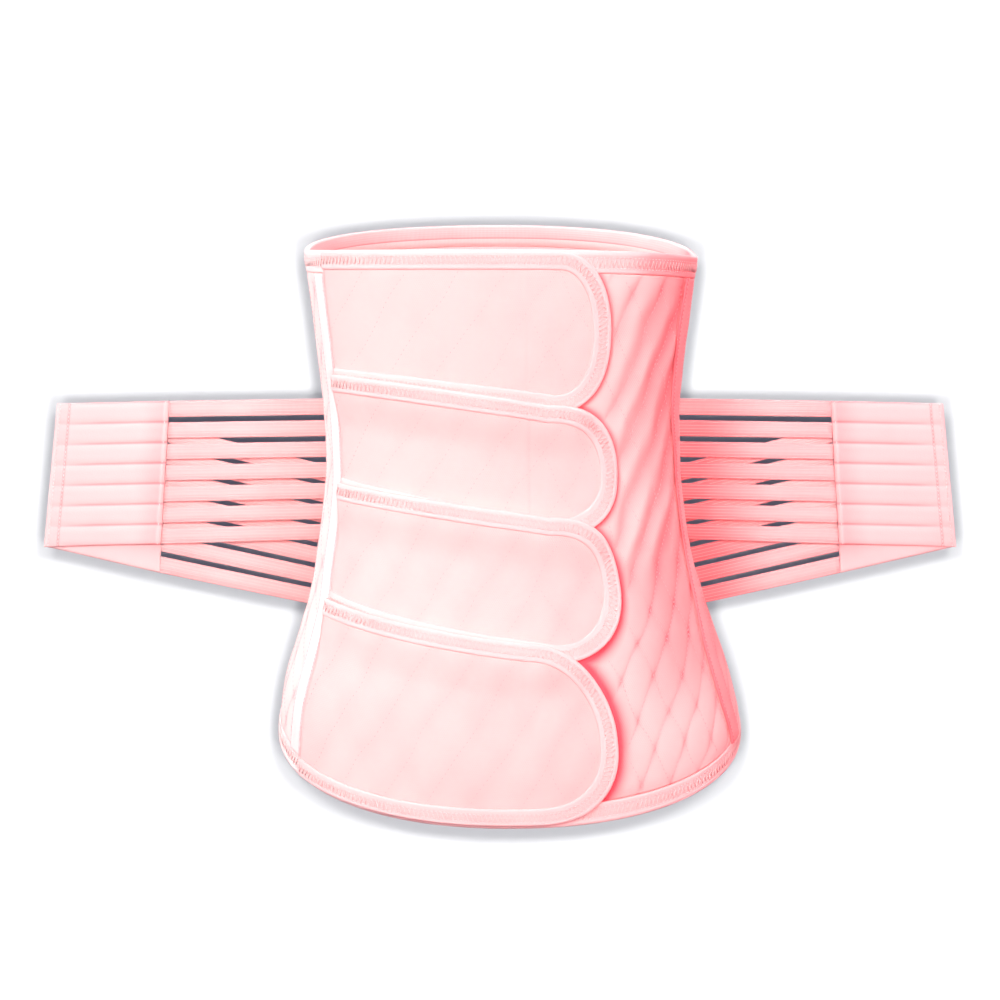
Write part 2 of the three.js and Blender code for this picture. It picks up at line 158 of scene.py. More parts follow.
@dataclass(frozen=True)
class Torso:
    """The form that the wrap is shaped on, with the wrap's edges and seams."""

    waist_width: float = 0.2163
    rib_width: float = 0.239
    hip_width: float = 0.2928
    waist_front: float = 0.080
    rib_front: float = 0.089
    hip_front: float = 0.0995
    waist_back: float = 0.078
    rib_back: float = 0.088
    hip_back: float = 0.1095
    hip_sway: float = 0.0062
    power: float = 0.92
    top_front: float = 0.1427
    top_left: float = 0.1324
    top_right: float = 0.1279
    top_back: float = 0.1359
    top_softness: float = 0.13
    bottom_front: float = 0.2112
    bottom_left: float = 0.1785
    bottom_right: float = 0.1805
    bottom_back: float = 0.186
    bottom_softness: float = 0.2
    bottom_power: float = 0.83
    right_seam: float = 69.0

    def share(self, z: Grid) -> Grid:
        """Returns a height as a share of the front's reach above or below the waist."""
        return np.where(z > 0, z / self.top_front, z / self.bottom_front)

    def column(self, name: str, share: Grid) -> Grid:
        """Reads a column of the sections table as a smooth curve through its rows.

        Args:
            name: the column's name.
            share: the heights, as shares.

        Returns:
            The column's value at each height.
        """
        heights = np.array([row.height for row in SECTIONS])
        values = np.array([getattr(row, name) for row in SECTIONS], dtype=float)
        last = len(SECTIONS) - 1
        low = np.maximum(np.arange(last + 1) - 1, 0)
        high = np.minimum(np.arange(last + 1) + 1, last)
        slopes = (values[high] - values[low]) / (heights[high] - heights[low])
        at = np.clip(share, heights[0], heights[-1])
        row = np.clip(np.searchsorted(heights, at, side="left") - 1, 0, last - 1)
        step = heights[row + 1] - heights[row]
        t = (at - heights[row]) / step
        bend = slopes[row] * t * (1 - t) ** 2 - slopes[row + 1] * t * t * (1 - t)
        return lerp(values[row], values[row + 1], smooth(t)) + step * bend

    def inner(self, turn: Grid, z: Grid) -> Grid:
        """Returns the points of the wrap's inner face at turns and heights.

        Args:
            turn: the turns.
            z: the heights.

        Returns:
            The points.
        """
        turn, z = np.broadcast_arrays(np.asarray(turn, float), np.asarray(z, float))
        share = self.share(z)
        above = z > 0
        width = np.where(above, self.rib_width, self.hip_width)
        front = np.where(above, self.rib_front, self.hip_front)
        back = np.where(above, self.rib_back, self.hip_back)
        half = lerp(self.waist_width, width, self.column("width", share)) / 2
        sin, cos = np.sin(np.radians(turn)), np.cos(np.radians(turn))
        depth = np.where(
            cos > 0,
            lerp(self.waist_front, front, self.column("front", share)),
            lerp(self.waist_back, back, self.column("back", share)),
        )
        x = self.hip_sway * self.column("sway", share) + half * np.sign(sin) * np.abs(sin) ** self.power
        y = -depth * np.sign(cos) * np.abs(cos) ** self.power
        return np.stack([x, y, z], axis=-1)

    def normal(self, turn: Grid, z: Grid) -> Grid:
        """Returns the unit vectors that point out of the wrap at turns and heights.

        Args:
            turn: the turns.
            z: the heights.

        Returns:
            The vectors.
        """
        turn_step, rise_step = 0.5, 0.001
        along = self.inner(turn + turn_step, z) - self.inner(turn - turn_step, z)
        up = self.inner(turn, z + rise_step) - self.inner(turn, z - rise_step)
        out = np.cross(along, up)
        return out / np.linalg.norm(out, axis=-1, keepdims=True)

    def point(self, turn: Grid, z: Grid, offset: Grid) -> Grid:
        """Returns the points that lie offset outside the wrap's inner face."""
        turn, z, offset = np.broadcast_arrays(turn, z, offset)
        return self.inner(turn, z) + self.normal(turn, z) * offset[..., None]

    def turn_for(self, length: float, turn: Grid, z: Grid) -> Grid:
        """Returns the turn that a length round the torso takes at a place."""
        return length / np.linalg.norm(self.inner(turn + 1.0, z) - self.inner(turn, z), axis=-1)

    @staticmethod
    def _reach(turn: Grid, soft: float, power: float) -> Grid:
        """Returns how far an edge is from its height at the sides, 0, to that at the front or back, 1."""
        cos = np.cos(np.radians(turn))
        return ((np.hypot(cos, soft) - soft) / (math.hypot(1.0, soft) - soft)) ** power

    def top(self, turn: Grid) -> Grid:
        """Returns the height of the wrap's upper edge at turns.

        Args:
            turn: the turns.

        Returns:
            The heights.
        """
        side = np.where(np.sin(np.radians(turn)) > 0, self.top_right, self.top_left)
        end = np.where(np.cos(np.radians(turn)) > 0, self.top_front, self.top_back)
        return lerp(side, end, self._reach(turn, self.top_softness, 1.0))

    def bottom(self, turn: Grid) -> Grid:
        """Returns the height of the wrap's lower edge at turns.

        Args:
            turn: the turns.

        Returns:
            The heights.
        """
        side = np.where(np.sin(np.radians(turn)) > 0, self.bottom_right, self.bottom_left)
        end = np.where(np.cos(np.radians(turn)) > 0, self.bottom_front, self.bottom_back)
        return -lerp(side, end, self._reach(turn, self.bottom_softness, self.bottom_power))

    def seam(self, z: Grid) -> Grid:
        """Returns the turn of the right side seam at heights."""
        return self.right_seam + self.column("seam_turn", self.share(z))

    def girth(self) -> tuple[Grid, Grid, Grid]:
        """Measures the length round the torso from the middle of the front.

        Returns:
            The turns, the heights, and the lengths at each height and turn.
        """
        turns = np.arange(-200.0, 361.0, 1.0)
        heights = np.linspace(-0.216, 0.146, 120)
        points = self.inner(turns[None, :], heights[:, None])
        steps = np.linalg.norm(np.diff(points, axis=1), axis=-1)
        lengths = np.concatenate([np.zeros((len(heights), 1)), np.cumsum(steps, axis=1)], axis=1)
        front = int(np.argmin(np.abs(turns)))
        return turns, heights, lengths - lengths[:, front : front + 1]


TORSO = Torso()
GIRTH_TURNS, GIRTH_HEIGHTS, GIRTH_LENGTHS = TORSO.girth()


def length_at(turn: Grid, z: Grid) -> Grid:
    """Returns the length round the torso from the middle of the front to turns at heights.

    Args:
        turn: the turns.
        z: the heights.

    Returns:
        The lengths, negative to the left.
    """
    turn, z = np.broadcast_arrays(np.asarray(turn, float), np.asarray(z, float))
    rows = np.clip(np.interp(z, GIRTH_HEIGHTS, np.arange(len(GIRTH_HEIGHTS))), 0, len(GIRTH_HEIGHTS) - 1.001)
    cols = np.clip(np.interp(turn, GIRTH_TURNS, np.arange(len(GIRTH_TURNS))), 0, len(GIRTH_TURNS) - 1.001)
    r, c = rows.astype(int), cols.astype(int)
    fr, fc = rows - r, cols - c
    low = lerp(GIRTH_LENGTHS[r, c], GIRTH_LENGTHS[r, c + 1], fc)
    high = lerp(GIRTH_LENGTHS[r + 1, c], GIRTH_LENGTHS[r + 1, c + 1], fc)
    return lerp(low, high, fr)


def turn_at(length: Grid, z: Grid) -> Grid:
    """Returns the turns at lengths round the torso, the other way round from length_at.

    Args:
        length: the lengths round the torso from the middle of the front.
        z: the heights.

    Returns:
        The turns.
    """
    rows = np.clip(np.interp(z, GIRTH_HEIGHTS, np.arange(len(GIRTH_HEIGHTS))), 0, len(GIRTH_HEIGHTS) - 1.001)
    found = []
    for want, row in zip(np.ravel(length), np.ravel(rows)):
        r = int(row)
        lengths = lerp(GIRTH_LENGTHS[r], GIRTH_LENGTHS[r + 1], row - r)
        found.append(float(np.interp(want, lengths, GIRTH_TURNS)))
    return np.array(found).reshape(np.shape(length))


@dataclass(frozen=True)
class Cloth:
    """Thicknesses, clearances and widths of the cloth, as in the model, and the turns of its ends."""

    gap: float = 0.0003
    wall: float = 0.0024
    rim_height: float = 0.0135
    rim_proud: float = 0.00045
    rim_gap: float = 0.0001
    flap_quilt: float = 0.0022
    flap_binding: float = 0.0027
    flap_binding_width: float = 0.011
    lap_fall: float = 0.026
    lap_turn: float = 9.0
    hem_rise: float = 0.0025
    tape_width: float = 0.014
    tape: float = 0.0016
    tape_gap: float = 0.00045
    anchor_width: float = 0.016
    strip: float = 0.0012
    flap_root: float = -59.8
    front_start: float = -55.6
    left_end: float = -56.0
    back_seam: float = 150.0
    seam_half_gap: float = 0.1


CLOTH = Cloth()


class Finish(Enum):
    """The finishes that the pieces wear."""

    QUILT = "quilt"
    LINING = "lining"
    BINDING = "binding"
    TAPE = "tape"
    ELASTIC = "elastic"
    TAB = "tab"
    THREAD = "thread"
    EDGE_THREAD = "edge_thread"


# A wave texture of scale 1 has a ridge every 0.314 m.
WAVE_LENGTH = 0.314


class Weave(Enum):
    """The fine surface of a cloth."""

    JERSEY = "jersey"
    RIB = "rib"
    BRUSHED = "brushed"


@dataclass(frozen=True)
class ClothFinish:
    """A cloth's look. Its grooves and shaded places, marked by the mesh's depth attribute, are deeper in
    colour: painted shade.
    """

    name: str
    pale: Colour
    deep: Colour
    weave: Weave
    pitch: float
    relief: float
    roughness: float = 0.85
    sheen: float = 0.25
    patch_scale: float = 28.0
    unevenness: float = 0.22

    def material(self) -> Material:
        """Builds the finish's material.

        Returns:
            The material.
        """
        made = bpy.data.materials.new(self.name)
        made.use_nodes = True
        made.diffuse_color = (*self.pale, 1.0)
        tree = made.node_tree
        shader = tree.nodes["Principled BSDF"]
        shader.inputs["Roughness"].default_value = self.roughness
        shader.inputs["Sheen Weight"].default_value = self.sheen
        shader.inputs["Sheen Roughness"].default_value = 0.5
        shader.inputs["Specular IOR Level"].default_value = 0.25
        tree.links.new(self._colour(tree), shader.inputs["Base Color"])
        tree.links.new(self._bump(tree), shader.inputs["Normal"])
        return made

    def _colour(self, tree: Tree) -> Socket:
        """Returns the socket of the cloth's colour: painted shade in grooves and shaded places, and a soft
        unevenness all over.

        Args:
            tree: the material's tree.

        Returns:
            The socket.
        """
        depth = wired(tree, "ShaderNodeAttribute", {}, attribute_name="depth")
        place = wired(tree, "ShaderNodeTexCoord", {}).outputs["Object"]
        patches = {"Vector": place, "Scale": self.patch_scale, "Detail": 3.0}
        noise = wired(tree, "ShaderNodeTexNoise", patches).outputs["Fac"]
        spread = {0: noise, 1: self.unevenness, 2: -self.unevenness / 2}
        uneven = wired(tree, "ShaderNodeMath", spread, operation="MULTIPLY_ADD")
        parts = {0: depth.outputs["Fac"], 1: uneven.outputs[0]}
        total = wired(tree, "ShaderNodeMath", parts, operation="ADD", use_clamp=True)
        colours = {"A": (*self.pale, 1.0), "B": (*self.deep, 1.0), "Factor": total.outputs[0]}
        return wired(tree, "ShaderNodeMix", colours, data_type="RGBA").outputs["Result"]

    def _bump(self, tree: Tree) -> Socket:
        """Returns the socket of the cloth's fine relief, laid out on the UV map in metres.

        Args:
            tree: the material's tree.

        Returns:
            The socket of the turned normal.
        """
        uv = wired(tree, "ShaderNodeUVMap", {}, uv_map="cloth")
        height = {
            Weave.JERSEY: self._jersey,
            Weave.RIB: self._rib,
            Weave.BRUSHED: self._brushed,
        }[self.weave](tree, uv.outputs["UV"])
        bump = wired(tree, "ShaderNodeBump", {"Distance": self.relief, "Strength": 0.8, "Height": height})
        return bump.outputs["Normal"]

    @staticmethod
    def _wave(tree: Tree, uv: Socket, turn: float, pitch: float) -> Socket:
        """Returns a row of soft ridges across the UV map, turned by an angle in degrees.

        Args:
            tree: the material's tree.
            uv: the UV places.
            turn: the angle.
            pitch: the distance from ridge to ridge.

        Returns:
            The socket of the ridges' height.
        """
        turned = {"Vector": uv, "Rotation": (0.0, 0.0, math.radians(turn))}
        place = wired(tree, "ShaderNodeMapping", turned).outputs["Vector"]
        ridges = {"Vector": place, "Scale": WAVE_LENGTH / pitch, "Distortion": 0.6, "Detail": 1.0}
        return wired(tree, "ShaderNodeTexWave", ridges).outputs["Fac"]

    def _jersey(self, tree: Tree, uv: Socket) -> Socket:
        """Returns two crossing rows of ridges, as knitted loops."""
        rows = {k: self._wave(tree, uv, turn, self.pitch) for k, turn in enumerate((30.0, -30.0))}
        return wired(tree, "ShaderNodeMath", rows, operation="MULTIPLY").outputs[0]

    def _rib(self, tree: Tree, uv: Socket) -> Socket:
        """Returns close ribs with a finer row across them."""
        rows = {0: self._wave(tree, uv, 0.0, self.pitch), 1: self._wave(tree, uv, 90.0, self.pitch * 1.6)}
        return wired(tree, "ShaderNodeMath", rows, operation="ADD").outputs[0]

    def _brushed(self, tree: Tree, uv: Socket) -> Socket:
        """Returns a fine felted unevenness."""
        felt = {"Vector": uv, "Scale": 1.0 / self.pitch, "Detail": 2.0}
        return wired(tree, "ShaderNodeTexNoise", felt).outputs["Fac"]


# The coral that the depth attribute mixes in: painted shade.
SHADE_CORAL: Colour = (0.86, 0.13, 0.17)

FINISHES: dict[Finish, ClothFinish] = {
    Finish.QUILT: ClothFinish("quilt_cloth", (0.96, 0.735, 0.69), SHADE_CORAL, Weave.JERSEY, 0.0011, 0.00012),
    Finish.LINING: ClothFinish("lining_cloth", (0.96, 0.72, 0.7), SHADE_CORAL, Weave.JERSEY, 0.0014, 0.00015),
    Finish.BINDING: ClothFinish("binding_cloth", (0.965, 0.775, 0.74), SHADE_CORAL, Weave.RIB, 0.0009, 0.00007),
    Finish.TAPE: ClothFinish("tape_cloth", (0.965, 0.78, 0.745), SHADE_CORAL, Weave.RIB, 0.0009, 0.00008),
    Finish.ELASTIC: ClothFinish("elastic_web", (0.96, 0.72, 0.69), SHADE_CORAL, Weave.RIB, 0.0008, 0.00012),
    Finish.TAB: ClothFinish("tab_cloth", (0.965, 0.75, 0.72), SHADE_CORAL, Weave.BRUSHED, 0.0009, 0.0001),
    Finish.THREAD: ClothFinish("quilting_thread", (0.9, 0.55, 0.55), SHADE_CORAL, Weave.BRUSHED, 0.001, 0.00005),
    Finish.EDGE_THREAD: ClothFinish("edge_thread", (0.965, 0.8, 0.77), SHADE_CORAL, Weave.BRUSHED, 0.001, 0.00005),
}


class Wardrobe:
    """Holds the materials, each made once."""

    def __init__(self) -> None:
        """Makes the materials."""
        self._made = {finish: look.material() for finish, look in FINISHES.items()}

    def __getitem__(self, finish: Finish) -> Material:
        """Returns the material of a finish."""
        return self._made[finish]


# The depth of colour of a piece's inner face.
LINING_DEPTH = 0.25


class Mesher:
    """Turns grids of points into closed meshes with a UV map in metres and a depth attribute, mostly of
    painted shade.
    """

    def __init__(self, wardrobe: Wardrobe) -> None:
        """Keeps the materials that the meshes wear."""
        self.wardrobe = wardrobe

    def _finish(
        self,
        name: str,
        points: Grid,
        faces: list[tuple[int, ...]],
        wears: Sequence[Finish],
        face_finish: Sequence[int],
        uv: Grid,
        depth: Grid,
    ) -> Object:
        """Makes the object of a closed mesh, with its faces pointing out.

        Args:
            name: the piece's name.
            points: the corners.
            faces: the faces, each a row of corner numbers.
            wears: the finishes.
            face_finish: the number of each face's finish.
            uv: the UV place of each corner.
            depth: how far each corner's colour deepens, from 0 to 1, mostly as painted shade.

        Returns:
            The object.
        """
        if self._volume(points, faces) < 0:
            faces = [tuple(reversed(face)) for face in faces]
        mesh = bpy.data.meshes.new(name)
        mesh.from_pydata(points.tolist(), [], faces)
        for finish in wears:
            mesh.materials.append(self.wardrobe[finish])
        mesh.polygons.foreach_set("material_index", face_finish)
        layer = mesh.uv_layers.new(name="cloth")
        corners = np.empty(len(mesh.loops), dtype=np.int32)
        mesh.loops.foreach_get("vertex_index", corners)
        layer.data.foreach_set("uv", uv[corners].astype(np.float32).ravel())
        mark = mesh.attributes.new("depth", "FLOAT", "POINT")
        mark.data.foreach_set("value", np.clip(depth, 0.0, 1.0).astype(np.float32))
        mesh.shade_smooth()
        mesh.update()
        made = bpy.data.objects.new(name, mesh)
        bpy.context.scene.collection.objects.link(made)
        return made

    @staticmethod
    def _volume(points: Grid, faces: list[tuple[int, ...]]) -> float:
        """Returns six times the volume that the faces enclose, negative where they point in.

        Args:
            points: the corners.
            faces: the faces.

        Returns:
            The volume, times six.
        """
        fans: dict[int, list[tuple[int, ...]]] = {}
        for face in faces:
            fans.setdefault(len(face), []).append(face)
        total = 0.0
        for size, group in fans.items():
            corners = points[np.array(group)]
            for k in range(1, size - 1):
                cross = np.cross(corners[:, k], corners[:, k + 1])
                total += float(np.einsum("ij,ij->", corners[:, 0], cross))
        return total

    def shell(
        self,
        name: str,
        outer: Grid,
        inner: Grid,
        outer_uv: Grid,
        inner_uv: Grid,
        depth: Grid,
        wears: tuple[Finish, Finish],
    ) -> Object:
        """Closes a fine outer grid and a coarser inner grid round their rims.

        Args:
            name: the piece's name.
            outer: the outer face's points, by column and row.
            inner: the inner face's points, with the same corners.
            outer_uv: the outer face's UV places.
            inner_uv: the inner face's UV places.
            depth: the outer face's depth attribute.
            wears: the finishes of the outer and the inner face.

        Returns:
            The piece's object.
        """
        cols, rows = outer.shape[:2]
        few_cols, few_rows = inner.shape[:2]
        start = cols * rows
        faces = self._quads(cols, rows, 0, False)
        outer_count = len(faces)
        far = self._quads(few_cols, few_rows, start, True)
        number = np.arange(start).reshape(cols, rows)
        few = start + np.arange(few_cols * few_rows).reshape(few_cols, few_rows)
        rim: list[tuple[int, ...]] = []
        rim += self._bridge(number[:, 0], few[:, 0], True)
        rim += self._bridge(number[-1, :], few[-1, :], True)
        rim += self._bridge(number[:, -1], few[:, -1], False)
        rim += self._bridge(number[0, :], few[0, :], False)
        points = np.concatenate([outer.reshape(-1, 3), inner.reshape(-1, 3)])
        uv = np.concatenate([outer_uv.reshape(-1, 2), inner_uv.reshape(-1, 2)])
        deep = np.concatenate([depth.ravel(), np.full(few_cols * few_rows, LINING_DEPTH)])
        numbers = [0] * outer_count + [1] * len(far) + [0] * len(rim)
        return self._finish(name, points, faces + far + rim, wears, numbers, uv, deep)

    @staticmethod
    def _quads(cols: int, rows: int, start: int, turned: bool) -> list[tuple[int, ...]]:
        """Returns the faces of a grid whose corners are numbered from start.

        Args:
            cols: the number of columns.
            rows: the number of rows.
            start: the first corner's number.
            turned: whether the faces point the other way.

        Returns:
            The faces.
        """
        number = start + np.arange(cols * rows).reshape(cols, rows)
        ring = [number[:-1, :-1], number[1:, :-1], number[1:, 1:], number[:-1, 1:]]
        if turned:
            ring.reverse()
        return [tuple(face) for face in np.stack(ring, axis=-1).reshape(-1, 4).tolist()]

    @staticmethod
    def _bridge(many: Grid, few: Grid, turned: bool) -> list[tuple[int, ...]]:
        """Returns the faces between a fine row of corners and a coarse one with the same ends.

        Args:
            many: the fine row's corners.
            few: the coarse row's corners.
            turned: whether the faces point the other way.

        Returns:
            The faces.
        """
        share = (len(few) - 1) / (len(many) - 1)
        faces = []
        for k in range(len(many) - 1):
            a, b = int(many[k]), int(many[k + 1])
            c, d = int(few[round((k + 1) * share)]), int(few[round(k * share)])
            face = (a, b, c) if c == d else (a, b, c, d)
            faces.append(tuple(reversed(face)) if turned else face)
        return faces

    def tube(
        self,
        name: str,
        rings: Grid,
        uv: Grid,
        depth: Grid,
        finish: Finish,
    ) -> Object:
        """Closes a row of rings of points, with a flat face over each end.

        Args:
            name: the piece's name.
            rings: the points, by ring and place round it.
            uv: the UV places.
            depth: the depth attribute.
            finish: the finish.

        Returns:
            The piece's object.
        """
        count, around = rings.shape[:2]
        number = np.arange(count * around).reshape(count, around)
        after = np.roll(number, -1, axis=1)
        ring = [number[:-1], number[1:], after[1:], after[:-1]]
        faces = [tuple(face) for face in np.stack(ring, axis=-1).reshape(-1, 4).tolist()]
        faces.append(tuple(int(k) for k in number[0]))
        faces.append(tuple(int(k) for k in number[-1][::-1]))
        points = rings.reshape(-1, 3)
        places = uv.reshape(-1, 2)
        return self._finish(name, points, faces, (finish,), [0] * len(faces), places, depth.ravel())


def ripple(length: Grid, z: Grid, size: float, seed: float) -> Grid:
    """Returns a soft unevenness between about -1 and 1 over the cloth.

    Args:
        length: the lengths round the torso.
        z: the heights.
        size: the distance from crest to crest, about.
        seed: a number that shifts the pattern.

    Returns:
        The unevenness at each place.
    """
    a, b = 2 * np.pi * length / size, 2 * np.pi * z / size
    return (
        0.45 * np.sin(a + 0.6 * b + seed)
        + 0.35 * np.sin(1.27 * b - 0.8 * a + 2.1 * seed)
        + 0.3 * np.sin(1.9 * a + 1.6 * b + 0.7 * seed) * np.sin(0.7 * b - 1.4 * a + 3.3 * seed)
    )


# The heights of the points that a stitched line is laid out through.
STITCH_HEIGHTS: Grid = np.arange(-0.215, 0.145, 0.003)


@dataclass(frozen=True)
class Quilt:
    """Diamond quilting: two families of stitched lines that wander a little, with the cloth puffed
    between them."""

    width: float = 0.0214
    rise_slant: float = 0.5
    fall_slant: float = 0.5
    rise_phase: float = 0.0032
    fall_phase: float = 0.008
    rise_share: float = 0.66
    softness: float = 0.07
    fullness: float = 0.2
    wander: float = 0.0024
    wander_size: float = 0.07

    def _puff(self, turns: Grid) -> Grid:
        """Returns the puff beside lines that lie at whole numbers: 0 on a line and 1 midway.

        Args:
            turns: the family's numbers at places.

        Returns:
            The puff.
        """
        wave = np.sin(np.pi * turns) ** 2
        floor = self.softness**2
        low, high = floor**self.fullness, (1 + floor) ** self.fullness
        return ((wave + floor) ** self.fullness - low) / (high - low)

    def _drift(self, rising: bool, length: Grid, z: Grid) -> Grid:
        """Returns how far a family's lines wander aside."""
        return self.wander * ripple(length, z, self.wander_size, 1.0 if rising else 2.3)

    def turns(self, rising: bool, length: Grid, z: Grid) -> Grid:
        """Returns a family's number at places: whole on its lines.

        Args:
            rising: whether the family rises to the right.
            length: the lengths round the torso.
            z: the heights.

        Returns:
            The numbers.
        """
        slant = self.rise_slant if rising else -self.fall_slant
        phase = self.rise_phase if rising else self.fall_phase
        return (length + self._drift(rising, length, z) - slant * z - phase) / self.width

    def families(self, length: Grid, z: Grid) -> tuple[Grid, Grid]:
        """Returns the puff beside the rising and beside the falling lines."""
        return self._puff(self.turns(True, length, z)), self._puff(self.turns(False, length, z))

    def lines(self, rising: bool) -> list[tuple[Grid, Grid]]:
        """Lays out one family's stitched lines.

        Args:
            rising: whether the family rises to the right.

        Returns:
            The lengths round the torso and the heights of each line's points.
        """
        slant = self.rise_slant if rising else -self.fall_slant
        phase = self.rise_phase if rising else self.fall_phase
        heights = STITCH_HEIGHTS
        count = int(float(np.max(np.abs(GIRTH_LENGTHS))) / self.width) + 8
        found = []
        for k in range(-count, count + 1):
            straight = phase + k * self.width + slant * heights
            length = straight
            for _ in range(4):
                length = straight - self._drift(rising, length, heights)
            found.append((length, heights))
        return found


class PathTree:
    """A geometry tree that follows the edges of a mesh: stitches, or a thread that may zigzag."""

    def __init__(self, name: str, sizes: dict[str, float], material: Material) -> None:
        """Starts a tree with a named input for each size.

        Args:
            name: the tree's name.
            sizes: the sizes, by input name.
            material: the material that the result wears.
        """
        self.sizes = sizes
        self.tree = bpy.data.node_groups.new(name, "GeometryNodeTree")
        face = self.tree.interface
        face.new_socket(name="Geometry", in_out="INPUT", socket_type="NodeSocketGeometry")
        for key, value in sizes.items():
            socket = face.new_socket(name=key, in_out="INPUT", socket_type="NodeSocketFloat")
            socket.default_value = value
        face.new_socket(name="Geometry", in_out="OUTPUT", socket_type="NodeSocketGeometry")
        self.start = self.tree.nodes.new("NodeGroupInput")
        self.material = material

    def node(self, kind: str, inputs: dict[str | int, object], **settings: object) -> Node:
        """Adds a node to the tree, with its inputs and settings."""
        return wired(self.tree, kind, inputs, **settings)

    def resampled(self) -> Socket:
        """Returns the edges as curves with a point at each pitch.

        Returns:
            The socket of the curves.
        """
        curve = self.node("GeometryNodeMeshToCurve", {"Mesh": self.start.outputs["Geometry"]})
        points = {"Curve": curve.outputs["Curve"], "Length": self.start.outputs["Pitch"]}
        return self.node("GeometryNodeResampleCurve", points, mode="LENGTH").outputs["Curve"]

    def close(self, geometry: Socket) -> None:
        """Ends the tree with realized instances and a material.

        Args:
            geometry: the socket that the tree ends with.
        """
        real = self.node("GeometryNodeRealizeInstances", {"Geometry": geometry}).outputs["Geometry"]
        dress = self.node("GeometryNodeSetMaterial", {"Geometry": real, "Material": self.material})
        self.node("NodeGroupOutput", {"Geometry": dress.outputs["Geometry"]})

    def apply(self, name: str, paths: Object) -> Object:
        """Runs the tree on a mesh of paths.

        Args:
            name: the name of the piece that it makes.
            paths: the object of the paths, which is removed.

        Returns:
            The piece's object, with a plain mesh.
        """
        modifier = paths.modifiers.new("follow", "NODES")
        modifier.node_group = self.tree
        for item in self.tree.interface.items_tree:
            if item.in_out == "INPUT" and item.name in self.sizes:
                modifier[item.identifier] = self.sizes[item.name]
        graph = bpy.context.evaluated_depsgraph_get()
        mesh = bpy.data.meshes.new_from_object(paths.evaluated_get(graph))
        mesh.name = name
        mesh.shade_smooth()
        source = paths.data
        bpy.data.objects.remove(paths)
        bpy.data.meshes.remove(source)
        made = bpy.data.objects.new(name, mesh)
        bpy.context.scene.collection.objects.link(made)
        return made


class StitchTree(PathTree):
    """Straight stitches: a slim grain at each pitch along the paths."""

    def __init__(
        self, name: str, pitch: float, length: float, radius: float, material: Material
    ) -> None:
        """Builds the tree.

        Args:
            name: the tree's name.
            pitch: the distance from stitch to stitch.
            length: a stitch's length.
            radius: the thread's radius.
            material: the thread's material.
        """
        super().__init__(name, {"Pitch": pitch, "Length": length, "Radius": radius}, material)
        radius_in, length_in = self.start.outputs["Radius"], self.start.outputs["Length"]
        grain = self.node("GeometryNodeMeshUVSphere", {"Segments": 4, "Rings": 3, "Radius": 0.5})
        thick = self.node("ShaderNodeMath", {0: radius_in, 1: 2.0}, operation="MULTIPLY").outputs[0]
        size = self.node("ShaderNodeCombineXYZ", {"X": length_in, "Y": thick, "Z": thick})
        tangent = self.node("GeometryNodeInputTangent", {}).outputs["Tangent"]
        turn = self.node("FunctionNodeAlignRotationToVector", {"Vector": tangent}, axis="X")
        grains = {
            "Points": self.resampled(),
            "Instance": grain.outputs["Mesh"],
            "Rotation": turn.outputs["Rotation"],
            "Scale": size.outputs["Vector"],
        }
        self.close(self.node("GeometryNodeInstanceOnPoints", grains).outputs["Instances"])


class ThreadTree(PathTree):
    """A thread along the paths, which swings to both sides by the paths' across attribute."""

    def __init__(
        self, name: str, pitch: float, swing: float, radius: float, material: Material
    ) -> None:
        """Builds the tree.

        Args:
            name: the tree's name.
            pitch: the distance along the path from one turn of the thread to the next.
            swing: the width of the zigzag, 0 for a straight thread.
            radius: the thread's radius.
            material: the thread's material.
        """
        super().__init__(name, {"Pitch": pitch, "Swing": swing, "Radius": radius}, material)
        index = self.node("GeometryNodeInputIndex", {}).outputs["Index"]
        parity = self.node("ShaderNodeMath", {0: index, 1: 2.0}, operation="MODULO").outputs[0]
        side = self.node("ShaderNodeMath", {0: parity, 1: 0.5}, operation="SUBTRACT").outputs[0]
        swings = {0: side, 1: self.start.outputs["Swing"]}
        swung = self.node("ShaderNodeMath", swings, operation="MULTIPLY").outputs[0]
        across = self.node("GeometryNodeInputNamedAttribute", {"Name": "across"}, data_type="FLOAT_VECTOR")
        shifts = {"Vector": across.outputs["Attribute"], "Scale": swung}
        shift = self.node("ShaderNodeVectorMath", shifts, operation="SCALE").outputs["Vector"]
        move = self.node("GeometryNodeSetPosition", {"Geometry": self.resampled(), "Offset": shift})
        ring = {"Resolution": 4, "Radius": self.start.outputs["Radius"]}
        circle = self.node("GeometryNodeCurvePrimitiveCircle", ring)
        thread = {
            "Curve": move.outputs["Geometry"],
            "Profile Curve": circle.outputs["Curve"],
            "Fill Caps": True,
        }
        self.close(self.node("GeometryNodeCurveToMesh", thread).outputs["Mesh"])


@dataclass
class Paths:
    """A collection of paths that a tree follows, each with the direction across it."""

    points: list[Grid] = field(default_factory=list)
    sides: list[Grid] = field(default_factory=list)

    def add(self, points: Grid, across: Grid | None = None) -> None:
        """Adds a path of two points or more.

        Args:
            points: the path's points.
            across: the direction across it at each point.
        """
        if len(points) < 2:
            return
        self.points.append(points)
        self.sides.append(np.zeros_like(points) if across is None else across)

    def build(self, name: str) -> Object:
        """Makes a mesh of edges from the paths.

        Args:
            name: the object's name.

        Returns:
            The object.
        """
        edges: list[tuple[int, int]] = []
        start = 0
        for path in self.points:
            edges += [(start + k, start + k + 1) for k in range(len(path) - 1)]
            start += len(path)
        mesh = bpy.data.meshes.new(name)
        mesh.from_pydata(np.concatenate(self.points).tolist(), edges, [])
        side = mesh.attributes.new("across", "FLOAT_VECTOR", "POINT")
        side.data.foreach_set("vector", np.concatenate(self.sides).astype(np.float32).ravel())
        made = bpy.data.objects.new(name, mesh)
        bpy.context.scene.collection.objects.link(made)
        return made


